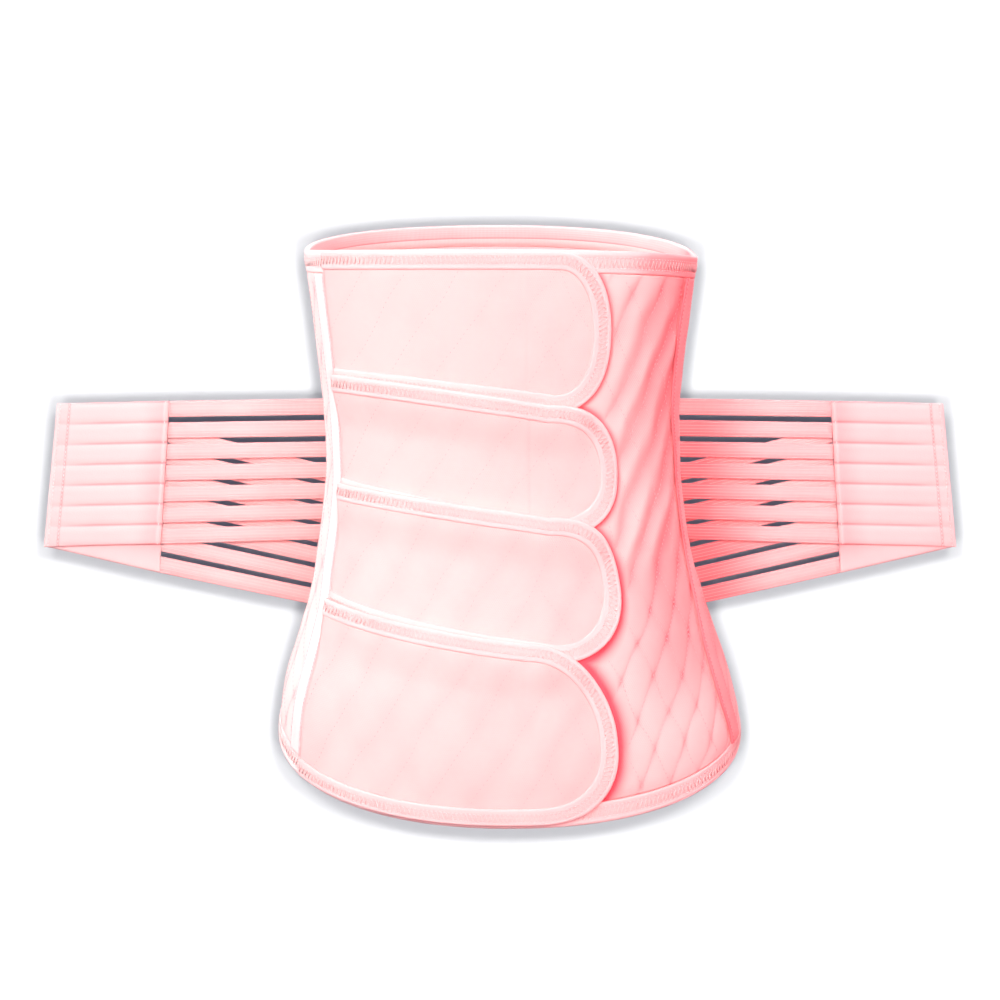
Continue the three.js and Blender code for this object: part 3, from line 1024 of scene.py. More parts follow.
def runs(points: Grid, keep: Grid) -> list[Grid]:
    """Splits a path into the stretches whose points are kept.

    Args:
        points: the path.
        keep: whether each point is kept.

    Returns:
        The stretches.
    """
    found, start = [], None
    for k, good in enumerate(list(keep) + [False]):
        if good and start is None:
            start = k
        if not good and start is not None:
            if k - start > 1:
                found.append(points[start:k])
            start = None
    return found


class Workshop:
    """What every sub-assembly needs: the mesher, the trees, and the joining of pieces to the frame."""

    def __init__(self) -> None:
        """Makes the materials and the trees."""
        self.wardrobe = Wardrobe()
        self.mesher = Mesher(self.wardrobe)
        quilting, edging = self.wardrobe[Finish.THREAD], self.wardrobe[Finish.EDGE_THREAD]
        elastic = self.wardrobe[Finish.ELASTIC]
        self.quilt_stitches = StitchTree("quilt_stitches", 0.003, 0.0016, 0.00024, quilting)
        self.flap_stitches = StitchTree("flap_stitches", 0.0034, 0.0012, 0.00018, quilting)
        self.needle_rows = StitchTree("needle_rows", 0.0026, 0.002, 0.00028, edging)
        self.tape_rows = StitchTree("tape_rows", 0.0026, 0.0018, 0.00024, quilting)
        self.cover_loops = ThreadTree("cover_loops", 0.0015, 0.0046, 0.00034, edging)
        self.web_ribs = ThreadTree("web_ribs", 0.004, 0.0, 0.00022, elastic)

    def join(self, piece: Object, slot: str, *nodes: str, fill: float | None = None) -> None:
        """Joins a piece to the frame.

        Args:
            piece: the piece.
            slot: not used.
            nodes: the model's nodes that it stands for.
            fill: not used.
        """
        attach(piece, BODY)
        if nodes:
            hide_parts(*nodes)
        LOG.info("%s: %d faces", piece.name, len(piece.data.polygons))

    def follow(self, tree: PathTree, name: str, paths: Paths, slot: str) -> None:
        """Runs a tree along paths and joins the piece that it makes."""
        if paths.points:
            self.join(tree.apply(name, paths.build(name + "_paths")), slot)


Edge = Callable[[Grid], Grid]


def wall_height(turn: Grid, share: Grid) -> Grid:
    """Returns the height of a place between the two rim bindings.

    Args:
        turn: the turns.
        share: the share of the way up.

    Returns:
        The heights.
    """
    low = TORSO.bottom(turn) + CLOTH.rim_height + CLOTH.rim_gap
    high = TORSO.top(turn) - CLOTH.rim_height - CLOTH.rim_gap
    return lerp(low, high, share)


@dataclass(frozen=True)
class Flap:
    """A front flap. Its edges run from the root over the shoulder, where its end starts to round off, to
    the tip. Heights are shares of the front's reach, or None at the wrap's own edge, and turns are in
    degrees. Bows are shares of the upper reach, and rounds the powers of the end's two curves."""

    name: str
    shoulder: float
    tip_turn: float
    top_root: float | None
    top_shoulder: float | None
    tip: float
    low_shoulder: float | None
    low_root: float | None
    top_bow: float
    low_bow: float
    top_round: float
    low_round: float
    lap_turn: float
    rise_phase: float
    fall_phase: float
    patch_turn: float

    @staticmethod
    def _height(share: float) -> float:
        """Returns the height of a share."""
        return share * (TORSO.top_front if share > 0 else TORSO.bottom_front)

    @property
    def tip_z(self) -> float:
        """The height of the tip."""
        return self._height(self.tip)

    def edges(self, turn: Grid, inset: float) -> tuple[Grid, Grid]:
        """Returns the heights of the upper and lower edge, drawn in by a length on every free side.

        Args:
            turn: the turns.
            inset: the length.

        Returns:
            The upper and the lower heights.
        """
        turn = np.asarray(turn, float)
        hem = TORSO.bottom(turn) + CLOTH.hem_rise
        top_shoulder = float(TORSO.top(np.array(self.shoulder)))
        if self.top_shoulder is not None:
            top_shoulder = self._height(self.top_shoulder)
        low_shoulder = float(TORSO.bottom(np.array(self.shoulder))) + CLOTH.hem_rise
        if self.low_shoulder is not None:
            low_shoulder = self._height(self.low_shoulder)
        share = (turn - CLOTH.flap_root) / (self.shoulder - CLOTH.flap_root)
        bow = 4 * share * (1 - share) * TORSO.top_front
        top = TORSO.top(turn)
        if self.top_root is not None:
            top = lerp(self._height(self.top_root), top_shoulder, share) + bow * self.top_bow
        low = hem
        if self.low_root is not None:
            low = lerp(self._height(self.low_root), low_shoulder, share) + bow * self.low_bow
        reach = self.tip_turn - self.shoulder - self._turn(inset)
        along = np.clip((turn - self.shoulder) / reach, 0.0, 1.0)
        round_top = (1 - along**self.top_round) ** (1 / self.top_round)
        round_low = (1 - along**self.low_round) ** (1 / self.low_round)
        past = turn > self.shoulder
        tip = self.tip_z
        return (
            np.where(past, tip + (top_shoulder - inset - tip) * round_top, top - inset),
            np.where(past, tip + (low_shoulder + inset - tip) * round_low, low + inset),
        )

    def _turn(self, length: float) -> float:
        """Returns the turn that a length takes at the tip."""
        return float(TORSO.turn_for(length, np.array(self.tip_turn), np.array(self.tip_z)))

    def turn(self, share: Grid, inset: float) -> Grid:
        """Returns turns from the root to the tip, closer together round the end.

        Args:
            share: the shares of the way.
            inset: how far the tip is drawn in.

        Returns:
            The turns.
        """
        straight = 0.55
        reach = self.tip_turn - self.shoulder - self._turn(inset)
        bend = np.clip((share - straight) / (1 - straight), 0, 1) * 90
        curved = self.shoulder + reach * np.sin(np.radians(bend))
        return np.where(share <= straight, lerp(CLOTH.flap_root, self.shoulder, share / straight), curved)

    def base(self, turn: Grid, z: Grid) -> Grid:
        """Returns how far the lower face lies outside the wrap: the upper edge laps over the flap above.

        Args:
            turn: the turns.
            z: the heights.

        Returns:
            The offsets.
        """
        on_wall = CLOTH.wall + CLOTH.rim_proud + CLOTH.gap
        if self.top_root is None:
            return on_wall + 0 * z
        held = self.edges(np.minimum(turn, self.shoulder), 0.0)[0] - CLOTH.flap_binding_width
        fallen = smooth((held - z) / CLOTH.lap_fall)
        passed = smooth((turn - self.lap_turn) / CLOTH.lap_turn)
        return on_wall + (CLOTH.flap_binding + CLOTH.gap) * (1 - fallen) * (1 - passed)


# The second line of each row says where its lap ends, where its quilting starts and where its patch
# is stitched.
FLAPS: tuple[Flap, ...] = (
    Flap("flap_1", 14.4, 32, None, None, 0.6, 0.31, 0.38, 0, 0.035, 2.0, 2.3,
         0, 0.004, 0.012, 6.5),
    Flap("flap_2", 12.4, 36.9, 0.436, 0.35, 0.02, -0.156, -0.069, 0.035, 0.03, 2.2, 2.4,
         20.6, 0.011, 0.003, 7.2),
    Flap("flap_3", 12.4, 34.3, -0.032, -0.095, -0.293, -0.516, -0.407, 0.03, 0.014, 2.3, 2.0,
         26.8, 0.001, 0.02, 7.4),
    Flap("flap_4", 4.1, 25, -0.378, -0.455, -0.734, None, None, 0.014, 0, 2.0, 2.5,
         15.4, 0.0189, 0.024, 2.9),
)


def flaps_end(z: Grid) -> Grid:
    """Returns the turn at which the flaps end at heights, or -90 where there is no flap.

    Args:
        z: the heights.

    Returns:
        The turns.
    """
    found = np.full(np.shape(z), -90.0)
    for flap in FLAPS:
        turns = np.linspace(flap.shoulder, flap.tip_turn, 80)
        top, low = flap.edges(turns, 0.0)
        upper = np.interp(z, top[::-1], turns[::-1], left=-90.0, right=-90.0)
        lower = np.interp(z, low, turns, left=-90.0, right=-90.0)
        found = np.maximum(found, np.maximum(upper, lower))
    return found


@dataclass(frozen=True)
class SideShade:
    """The painted shade that deepens the cloth's colour round the right side. Turns are in degrees, and a
    pair of lengths is a height and the reach over which a change goes on from it."""

    start: float = 40.0
    high_ahead: float = 6.0
    low_ahead: float = 18.0
    end: float = 112.0
    fade: float = 30.0
    high: tuple[float, float] = (0.01, 0.05)
    low: tuple[float, float] = (-0.02, 0.06)
    foot: tuple[float, float] = (-0.165, 0.065)
    depth: float = 0.32
    depth_more: float = 0.12

    def at(self, turn: Grid, z: Grid) -> Grid:
        """Returns how much painted shade deepens the cloth's colour at turns and heights.

        Args:
            turn: the turns.
            z: the heights.

        Returns:
            The depth that it adds.
        """
        high = smooth((z - self.high[0]) / self.high[1])
        low = smooth((self.low[0] - z) / self.low[1])
        start = self.start - self.high_ahead * high - self.low_ahead * low
        across = window(turn, start, self.fade, self.end, self.fade)
        deep = self.depth + self.depth_more * (high + low)
        return deep * across * smooth((z - self.foot[0]) / self.foot[1])


SIDE_SHADE = SideShade()


def wall_place(line: Edge, share: Grid) -> tuple[Grid, Grid]:
    """Returns the turn and height at a share of the wall's height on an upright line.

    Args:
        line: the turn at a height.
        share: the share of the way up.

    Returns:
        The turns and the heights.
    """
    near = wall_height(line(np.zeros_like(share)), share)
    z = wall_height(line(near), share)
    return line(z), z


# A distance from the rim at which the cloth is full.
FAR_FROM_RIM = 0.02


@dataclass(frozen=True)
class Panel:
    """A quilted wall between two seams."""

    name: str
    start: Edge
    end: Edge


@dataclass
class Walls:
    """The wrap's four quilted walls. Creases are drawn between two turns and two heights, each with the
    reach of its fade. A pair for the shade is that above and that below the waist, and the stitches'
    margin is a turn at the seams and a share of the height at the rims."""

    shop: Workshop
    quilt: Quilt = Quilt()
    pitch: float = 0.00135
    lining_pitch: float = 0.006
    groove: float = 0.002
    crest: float = 0.0011
    hidden_crest: float = 0.0007
    hidden_lap: float = 3.0
    hidden_fade: float = 5.0
    rim_puff: float = 0.35
    crease: float = 0.001
    crease_turns: tuple[float, float, float, float] = (30, 10, 78, 14)
    crease_heights: tuple[float, float, float, float] = (-0.085, 0.05, 0.135, 0.05)
    unevenness: float = 0.5
    # Painted shade in the quilting's grooves and in the creases beside the flaps.
    groove_shade: float = 0.6
    crease_shade: float = 0.3
    # The painted shadow of the flaps' ends on the front panel: its strength and reach, and the most under
    # which stitches are laid.
    shade: tuple[float, float] = (0.9, 1.2)
    shade_reach: tuple[float, float] = (0.0027, 0.0062)
    stitched_shade: float = 0.3
    stitch_margin: tuple[float, float] = (0.6, 0.015)
    stitch_rise: float = 0.0001
    edge_fall: float = 0.006

    def panels(self) -> list[Panel]:
        """Returns the four panels, from the front round to the left.

        Returns:
            The panels.
        """
        gap, seam = CLOTH.seam_half_gap, CLOTH.back_seam
        return [
            Panel("front_panel", lambda z: CLOTH.front_start + 0 * z, lambda z: TORSO.seam(z) - gap),
            Panel("right_side_panel", lambda z: TORSO.seam(z) + gap, lambda z: seam - gap + 0 * z),
            Panel("back_panel", lambda z: seam + gap + 0 * z, lambda z: 360 - seam - gap + 0 * z),
            Panel("left_side_panel", lambda z: gap - seam + 0 * z, lambda z: CLOTH.left_end + 0 * z),
        ]

    def relief(self, turn: Grid, z: Grid, rim: Grid) -> tuple[Grid, Grid]:
        """Works out the quilting's height over the wall's inner face.

        Args:
            turn: the turns.
            z: the heights.
            rim: the distance to the panel's nearest edge, in metres.

        Returns:
            The offsets of the outer face, and the depth attribute: painted shade in the grooves and creases
            and round the right side.
        """
        length = length_at(turn, z)
        rise, fall = self.quilt.families(length, z)
        drag = self.drag(turn, z)
        fold = np.sin(np.pi * self.quilt.turns(True, length, z)) ** 2
        rise = lerp(rise, fold, drag)
        share = self.quilt.rise_share + (1 - self.quilt.rise_share) * 0.9 * drag
        puff = share * rise + (1 - share) * fall
        hidden = smooth((flaps_end(z) + self.hidden_lap - turn) / self.hidden_fade) * (turn > -90)
        full = lerp(self.crest, self.hidden_crest, hidden) + self.crease * drag
        full = full * (0.85 + self.unevenness * ripple(length, z, 0.1, 4.0))
        held = smooth(rim / self.edge_fall)
        offset = self.groove + full * puff * lerp(self.rim_puff, 1.0, held)
        # Painted shade in the grooves and creases, and round the right side.
        depth = lerp(self.groove_shade * (1 - puff) ** 3, self.crease_shade * (1 - fold), drag)
        return offset, depth + SIDE_SHADE.at(turn, z)

    def drag(self, turn: Grid, z: Grid) -> Grid:
        """Returns where the front panel is drawn into slanting creases beside the flaps, 0 to 1.

        Args:
            turn: the turns.
            z: the heights.

        Returns:
            The share of the creases.
        """
        return window(turn, *self.crease_turns) * window(z, *self.crease_heights)

    def build(self) -> None:
        """Builds the walls and their quilting stitches."""
        for panel in self.panels():
            self._wall(panel)
            self._stitches(panel)

    def _wall(self, panel: Panel) -> None:
        """Builds one wall.

        Args:
            panel: the panel.
        """
        middle = np.linspace(0, 1, 5)
        turn_a, z_a = wall_place(panel.start, middle)
        turn_b, _ = wall_place(panel.end, middle)
        width = float(np.max(length_at(turn_b, z_a) - length_at(turn_a, z_a)))
        height = float(np.max(z_a) - np.min(z_a)) + 0.03
        cols, rows = round(width / self.pitch), round(height / self.pitch)
        few_cols, few_rows = round(width / self.lining_pitch), round(height / self.lining_pitch)

        def place(columns: int, levels: int) -> tuple[Grid, Grid]:
            """Returns the turns and heights of a grid over the panel."""
            u, v = unit_grid(columns, levels)
            return wall_place(lambda z: lerp(panel.start(z), panel.end(z), u), v)

        turn, z = place(cols, rows)
        u, v = unit_grid(cols, rows)
        rim = np.minimum(np.minimum(u, 1 - u) * width, np.minimum(v, 1 - v) * height)
        offset, depth = self.relief(turn, z, rim)
        # Painted shadow of the flaps' ends on the front panel.
        if panel.name == "front_panel":
            depth = np.maximum(depth, self._painted_flap_shadow(turn, z))
        few_turn, few_z = place(few_cols, few_rows)
        piece = self.shop.mesher.shell(
            panel.name + "_cloth",
            TORSO.point(turn, z, offset),
            TORSO.point(few_turn, few_z, 0.0 * few_z),
            np.stack([length_at(turn, z), z], axis=-1),
            np.stack([length_at(few_turn, few_z), few_z], axis=-1),
            depth,
            (Finish.QUILT, Finish.LINING),
        )
        self.shop.join(piece, "quilt", panel.name, fill=0.3)

    def _painted_flap_shadow(self, turn: Grid, z: Grid) -> Grid:
        """Returns the painted shadow that the flaps' ends throw on the front panel close beside them.

        Args:
            turn: the turns.
            z: the heights.

        Returns:
            The depth attribute.
        """
        ends = []
        for flap in FLAPS:
            edge = flap.turn(np.linspace(0.5, 1.0, 160), 0.0)
            for side in flap.edges(edge, 0.0):
                ends.append(np.stack([length_at(edge, side), side], axis=-1))
        places = np.stack([length_at(turn, z), z], axis=-1)
        near = np.full(turn.shape, 1.0)
        for end in np.concatenate(ends):
            near = np.minimum(near, np.linalg.norm(places - end, axis=-1))
        lower = smooth((0.02 - z) / 0.14)
        reach = lerp(*self.shade_reach, lower)
        return lerp(*self.shade, lower) * np.exp(-((near / reach) ** 2)) * (turn > 5)

    def _stitches(self, panel: Panel) -> None:
        """Lays the quilting stitches of one wall in its grooves.

        Args:
            panel: the panel.
        """
        paths = Paths()
        aside, margin = self.stitch_margin
        for rising in (True, False):
            for length, z in self.quilt.lines(rising):
                turn = turn_at(length, z)
                low, high = wall_height(turn, margin), wall_height(turn, 1 - margin)
                keep = (turn > panel.start(z) + aside) & (turn < panel.end(z) - aside)
                keep &= (z > low) & (z < high)
                if panel.name == "front_panel":
                    keep &= self._painted_flap_shadow(turn, z) < self.stitched_shade
                offset, _ = self.relief(turn, z, np.full_like(z, FAR_FROM_RIM))
                for stretch in runs(TORSO.point(turn, z, offset + self.stitch_rise), keep):
                    paths.add(stretch)
        self.shop.follow(self.shop.quilt_stitches, panel.name + "_stitches", paths, "quilt")


# Each row of a binding's section holds its place across, its rise and its painted shade, deepest in the
# crevice at its inner edge and under it.
RIM_PROFILE: tuple[tuple[float, float, float], ...] = (
    (0.0, 0.14, 0.1),
    (0.0, 0.55, 0.7),
    (0.02, 0.84, 0.25),
    (0.07, 0.95, 0.0),
    (0.18, 0.95, 0.0),
    (0.23, 0.9, 0.06),
    (0.27, 0.88, 0.09),
    (0.5, 0.92, 0.06),
    (0.69, 0.88, 0.09),
    (0.74, 0.92, 0.06),
    (0.79, 0.98, 0.0),
    (0.88, 1.0, 0.0),
    (0.96, 0.9, 0.0),
    (1.0, 0.7, 0.0),
    (1.01, 0.4, 0.0),
    (0.98, 0.1, 0.0),
    (0.9, 0.0, 0.27),
    (0.44, 0.0, 0.36),
    (0.41, 0.03, 0.6),
    (0.4, 0.14, 0.7),
    (0.37, 0.14, 0.1),
)

FLAP_PROFILE: tuple[tuple[float, float, float], ...] = (
    (0.0, 0.0, 0.1),
    (0.0, 0.62, 0.16),
    (0.02, 0.84, 0.06),
    (0.08, 0.92, 0.0),
    (0.24, 0.93, 0.0),
    (0.3, 0.88, 0.06),
    (0.34, 0.86, 0.1),
    (0.52, 0.89, 0.06),
    (0.7, 0.86, 0.1),
    (0.74, 0.89, 0.05),
    (0.8, 0.95, 0.0),
    (0.9, 0.93, 0.0),
    (0.97, 0.8, 0.0),
    (1.0, 0.55, 0.1),
    (1.0, 0.15, 0.3),
    (0.9, 0.0, 0.3),
    (0.5, 0.0, 0.15),
)


@dataclass(frozen=True)
class Edging:
    """A binding's section and its sewing. The section's points are shares of the width across and of the
    thickness up, with the painted shade of its crevices; loops lie between the two needle rows. Side
    shade is the most painted shade that it takes on the right side, and its gain how much sooner than the
    walls."""

    profile: tuple[tuple[float, float, float], ...]
    rows: tuple[float, float]
    row_rise: float = 0.92
    loop_rise: float = 0.98
    side_shade: float = 0.0
    side_shade_gain: float = 2.6

    def column(self, number: int) -> Grid:
        """Returns one column of the section: across, rise or depth."""
        return np.array([point[number] for point in self.profile])[None, :]


RIM_EDGING = Edging(RIM_PROFILE, (0.25, 0.72), side_shade=0.4)
FLAP_EDGING = Edging(FLAP_PROFILE, (0.32, 0.72))


class Line:
    """A binding's inner line and edge over the torso, sampled along its length."""

    def __init__(self, inner: tuple[Grid, Grid], edge: tuple[Grid, Grid]) -> None:
        """Keeps the turns and heights of the two lines."""
        self.inner_turn, self.inner_z = inner
        self.edge_turn, self.edge_z = edge

    def at(self, across: Grid) -> tuple[Grid, Grid]:
        """Returns the turns and heights at a share of the way from the inner line to the edge.

        Args:
            across: the share.

        Returns:
            The turns and the heights.
        """
        return (
            lerp(self.inner_turn, self.edge_turn, across),
            lerp(self.inner_z, self.edge_z, across),
        )


Base = Callable[[Grid, Grid], Grid]


@dataclass
class Bindings:
    """Builds bindings along lines: each a band, two needle rows and the loops between them."""

    shop: Workshop
    edging: Edging
    thick: float

    def build(self, node: str, line: Line, base: Base) -> None:
        """Builds one binding.

        Args:
            node: the model's node that it stands for.
            line: where it runs.
            base: the offset of its lower face at turns and heights.
        """
        across, rise = self.edging.column(0), self.edging.column(1)
        turn, z = Line(
            (line.inner_turn[:, None], line.inner_z[:, None]),
            (line.edge_turn[:, None], line.edge_z[:, None]),
        ).at(across)
        rings = TORSO.point(turn, z, base(turn, z) + self.thick * rise)
        middle = rings[:, rings.shape[1] // 2]
        run = np.concatenate([[0.0], np.cumsum(np.linalg.norm(np.diff(middle, axis=0), axis=1))])
        steps = np.linalg.norm(np.diff(rings, axis=1), axis=-1)
        wide = np.concatenate([np.zeros((len(run), 1)), np.cumsum(steps, axis=1)], axis=1)
        uv = np.stack([np.broadcast_to(run[:, None], wide.shape), wide], axis=-1)
        # Painted shade: the section's crevices and underside, and the right side's shade.
        shaded = np.minimum(self.edging.side_shade_gain * SIDE_SHADE.at(turn, z), self.edging.side_shade)
        depth = self.edging.column(2) + shaded
        band = self.shop.mesher.tube(node + "_cloth", rings, uv, depth, Finish.BINDING)
        self.shop.join(band, "binding", node)
        self._sew(node, line, base)

    def _sew(self, node: str, line: Line, base: Base) -> None:
        """Sews the two needle rows and the loops between them.

        Args:
            node: the binding's node.
            line: where it runs.
            base: the offset of its lower face.
        """
        rows, loops = Paths(), Paths()
        for share in self.edging.rows:
            rows.add(self._along(line, base, share, self.edging.row_rise))
        low, high = (self._along(line, base, share, self.edging.loop_rise) for share in self.edging.rows)
        side = high - low
        loops.add((low + high) / 2, side / np.linalg.norm(side, axis=1, keepdims=True))
        self.shop.follow(self.shop.needle_rows, node + "_rows", rows, "binding")
        self.shop.follow(self.shop.cover_loops, node + "_loops", loops, "binding")

    def _along(self, line: Line, base: Base, share: float, rise: float) -> Grid:
        """Returns the points of a line along the binding, at a share across it and a rise over it."""
        turn, z = line.at(share)
        return TORSO.point(turn, z, base(turn, z) + self.thick * rise)


@dataclass
class Rims:
    """The broad bindings over the wrap's upper and lower edge."""

    shop: Workshop
    stations: int = 420

    def build(self) -> None:
        """Builds both rim bindings."""
        bindings = Bindings(self.shop, RIM_EDGING, CLOTH.wall + 2 * CLOTH.rim_proud)
        turn = np.linspace(CLOTH.front_start, CLOTH.left_end + 360, self.stations)
        for node, edge, inwards in (("top_binding", TORSO.top, -1), ("bottom_binding", TORSO.bottom, 1)):
            z = edge(turn)
            line = Line((turn, z + inwards * CLOTH.rim_height), (turn, z))
            bindings.build(node, line, lambda t, h: -CLOTH.rim_proud + 0 * t)


@dataclass
class Flaps:
    """The four front flaps with their bindings and stitched hook patches."""

    shop: Workshop
    rows: int = 70
    columns: int = 150
    lining_rows: int = 12
    lining_columns: int = 30
    last_share: float = 0.985
    groove: float = 0.0015
    crest: float = 0.00042
    # Painted shade in the quilting's grooves, above and below the waist; the ends and the patch seam are
    # deeper in colour.
    groove_shade: tuple[float, float] = (0.03, 0.085)
    end_depth: float = 0.08
    patch_depth: float = 0.1
    stitch_rise: float = 0.0001
    edge_fall: float = 0.005
    patch_groove: float = 0.0005
    patch_half_width: float = 0.0011
    quilt_width: float = 0.0285
    rise_slant: float = 0.65
    falling_start: float = 8.0
    stations: int = 420

    def quilt(self, flap: Flap) -> Quilt:
        """Returns a flap's quilting.

        Args:
            flap: the flap.

        Returns:
            The quilting.
        """
        return Quilt(
            width=self.quilt_width,
            rise_slant=self.rise_slant,
            rise_phase=flap.rise_phase,
            fall_phase=flap.fall_phase,
            rise_share=0.72,
            softness=0.35,
            fullness=0.5,
        )

    def relief(self, flap: Flap, turn: Grid, z: Grid, rim: Grid) -> tuple[Grid, Grid]:
        """Returns the offset of a flap's outer face over its lower one, and the depth attribute: painted
        shade in the grooves, and a deeper colour towards the lower flaps' ends and along the patch seam.

        Args:
            flap: the flap.
            turn: the turns.
            z: the heights.
            rim: the distance to the cloth's edge.

        Returns:
            The offset and the depth attribute.
        """
        quilt = self.quilt(flap)
        length = length_at(turn, z)
        rise, fall = quilt.families(length, z)
        puff = quilt.rise_share * rise + (1 - quilt.rise_share) * fall
        held = smooth(rim / self.edge_fall)
        patch = np.abs(length - length_at(flap.patch_turn, z)) / self.patch_half_width
        seam = smooth(1 - patch)
        full = self.crest * (0.8 + 0.5 * ripple(length, z, 0.09, 6.0))
        full = full * lerp(0.45, 1.0, smooth((turn + 20) / 40))
        offset = self.groove + full * puff * lerp(0.3, 1.0, held) - self.patch_groove * seam
        lower = smooth((0.03 - z) / 0.12)
        depth = (1 - puff) * lerp(*self.groove_shade, lower)
        depth = depth + self.end_depth * lower * smooth((turn - 2) / 22)
        return offset, np.maximum(depth, self.patch_depth * seam)

    def build(self) -> None:
        """Builds the flaps."""
        bindings = Bindings(self.shop, FLAP_EDGING, CLOTH.flap_binding)
        for flap in FLAPS:
            self._cloth(flap)
            self._stitches(flap)
            bindings.build(flap.name + "_binding", self._outline(flap), flap.base)

    def _outline(self, flap: Flap) -> Line:
        """Returns the line of a flap's binding, from the root over the tip and back.

        Args:
            flap: the flap.

        Returns:
            The line.
        """
        t = np.linspace(0, 1, self.stations)
        share = 1 - np.abs(2 * t - 1)
        upper = t <= 0.5
        inset = CLOTH.flap_binding_width
        inner_turn, edge_turn = flap.turn(share, inset), flap.turn(share, 0.0)
        inner, edge = flap.edges(inner_turn, inset), flap.edges(edge_turn, 0.0)
        return Line(
            (inner_turn, np.where(upper, inner[0], inner[1])),
            (edge_turn, np.where(upper, edge[0], edge[1])),
        )

    def _place(self, flap: Flap, columns: int, rows: int) -> tuple[Grid, Grid]:
        """Returns the turns and heights of a grid over a flap's quilted cloth.

        Args:
            flap: the flap.
            columns: the number of columns.
            rows: the number of rows.

        Returns:
            The turns and the heights.
        """
        inset = CLOTH.flap_binding_width - CLOTH.gap
        u, v = unit_grid(columns, rows)
        turn = flap.turn(u * self.last_share, inset)
        top, low = flap.edges(turn, inset)
        return turn, lerp(low, top, v)

    def _cloth(self, flap: Flap) -> None:
        """Builds a flap's quilted cloth.

        Args:
            flap: the flap.
        """
        turn, z = self._place(flap, self.columns, self.rows)
        few_turn, few_z = self._place(flap, self.lining_columns, self.lining_rows)
        high, low = np.max(z, axis=1, keepdims=True), np.min(z, axis=1, keepdims=True)
        ahead = np.max(length_at(turn, z), axis=0, keepdims=True) - length_at(turn, z)
        rim = np.minimum(np.minimum(high - z, z - low), ahead)
        offset, depth = self.relief(flap, turn, z, rim)
        piece = self.shop.mesher.shell(
            flap.name + "_cloth",
            TORSO.point(turn, z, flap.base(turn, z) + offset),
            TORSO.point(few_turn, few_z, flap.base(few_turn, few_z)),
            np.stack([length_at(turn, z), z], axis=-1),
            np.stack([length_at(few_turn, few_z), few_z], axis=-1),
            depth,
            (Finish.QUILT, Finish.TAPE),
        )
        self.shop.join(piece, "quilt", flap.name, fill=0.3)

    def _stitches(self, flap: Flap) -> None:
        """Lays a flap's quilting stitches and the row down its hook patch.

        Args:
            flap: the flap.
        """
        quilt = self.quilt(flap)
        inset = CLOTH.flap_binding_width + 0.001
        paths = Paths()
        rows = [(line, CLOTH.flap_root) for line in quilt.lines(True)]
        rows += [(line, self.falling_start) for line in quilt.lines(False)]
        patch = (length_at(flap.patch_turn, STITCH_HEIGHTS), STITCH_HEIGHTS)
        rows.append((patch, CLOTH.flap_root))
        last = flap.turn(np.array(self.last_share), inset)
        for (length, z), start in rows:
            turn = turn_at(length, z)
            top, low = flap.edges(turn, inset)
            keep = (turn > max(CLOTH.flap_root + 0.8, start)) & (turn < last) & (z > low) & (z < top)
            offset, _ = self.relief(flap, turn, z, np.full_like(z, FAR_FROM_RIM))
            rise = flap.base(turn, z) + offset + self.stitch_rise
            for stretch in runs(TORSO.point(turn, z, rise), keep):
                paths.add(stretch)
        self.shop.follow(self.shop.flap_stitches, flap.name + "_stitches", paths, "quilt")


# Each row of a tape's section holds its place across and its rise.
TAPE_PROFILE: tuple[tuple[float, float], ...] = (
    (0, 0),
    (0, 0.5),
    (0.06, 0.8),
    (0.14, 0.78),
    (0.2, 0.92),
    (0.5, 1.0),
    (0.8, 0.92),
    (0.86, 0.78),
    (0.94, 0.8),
    (1, 0.5),
    (1, 0),
    (0.5, 0),
)


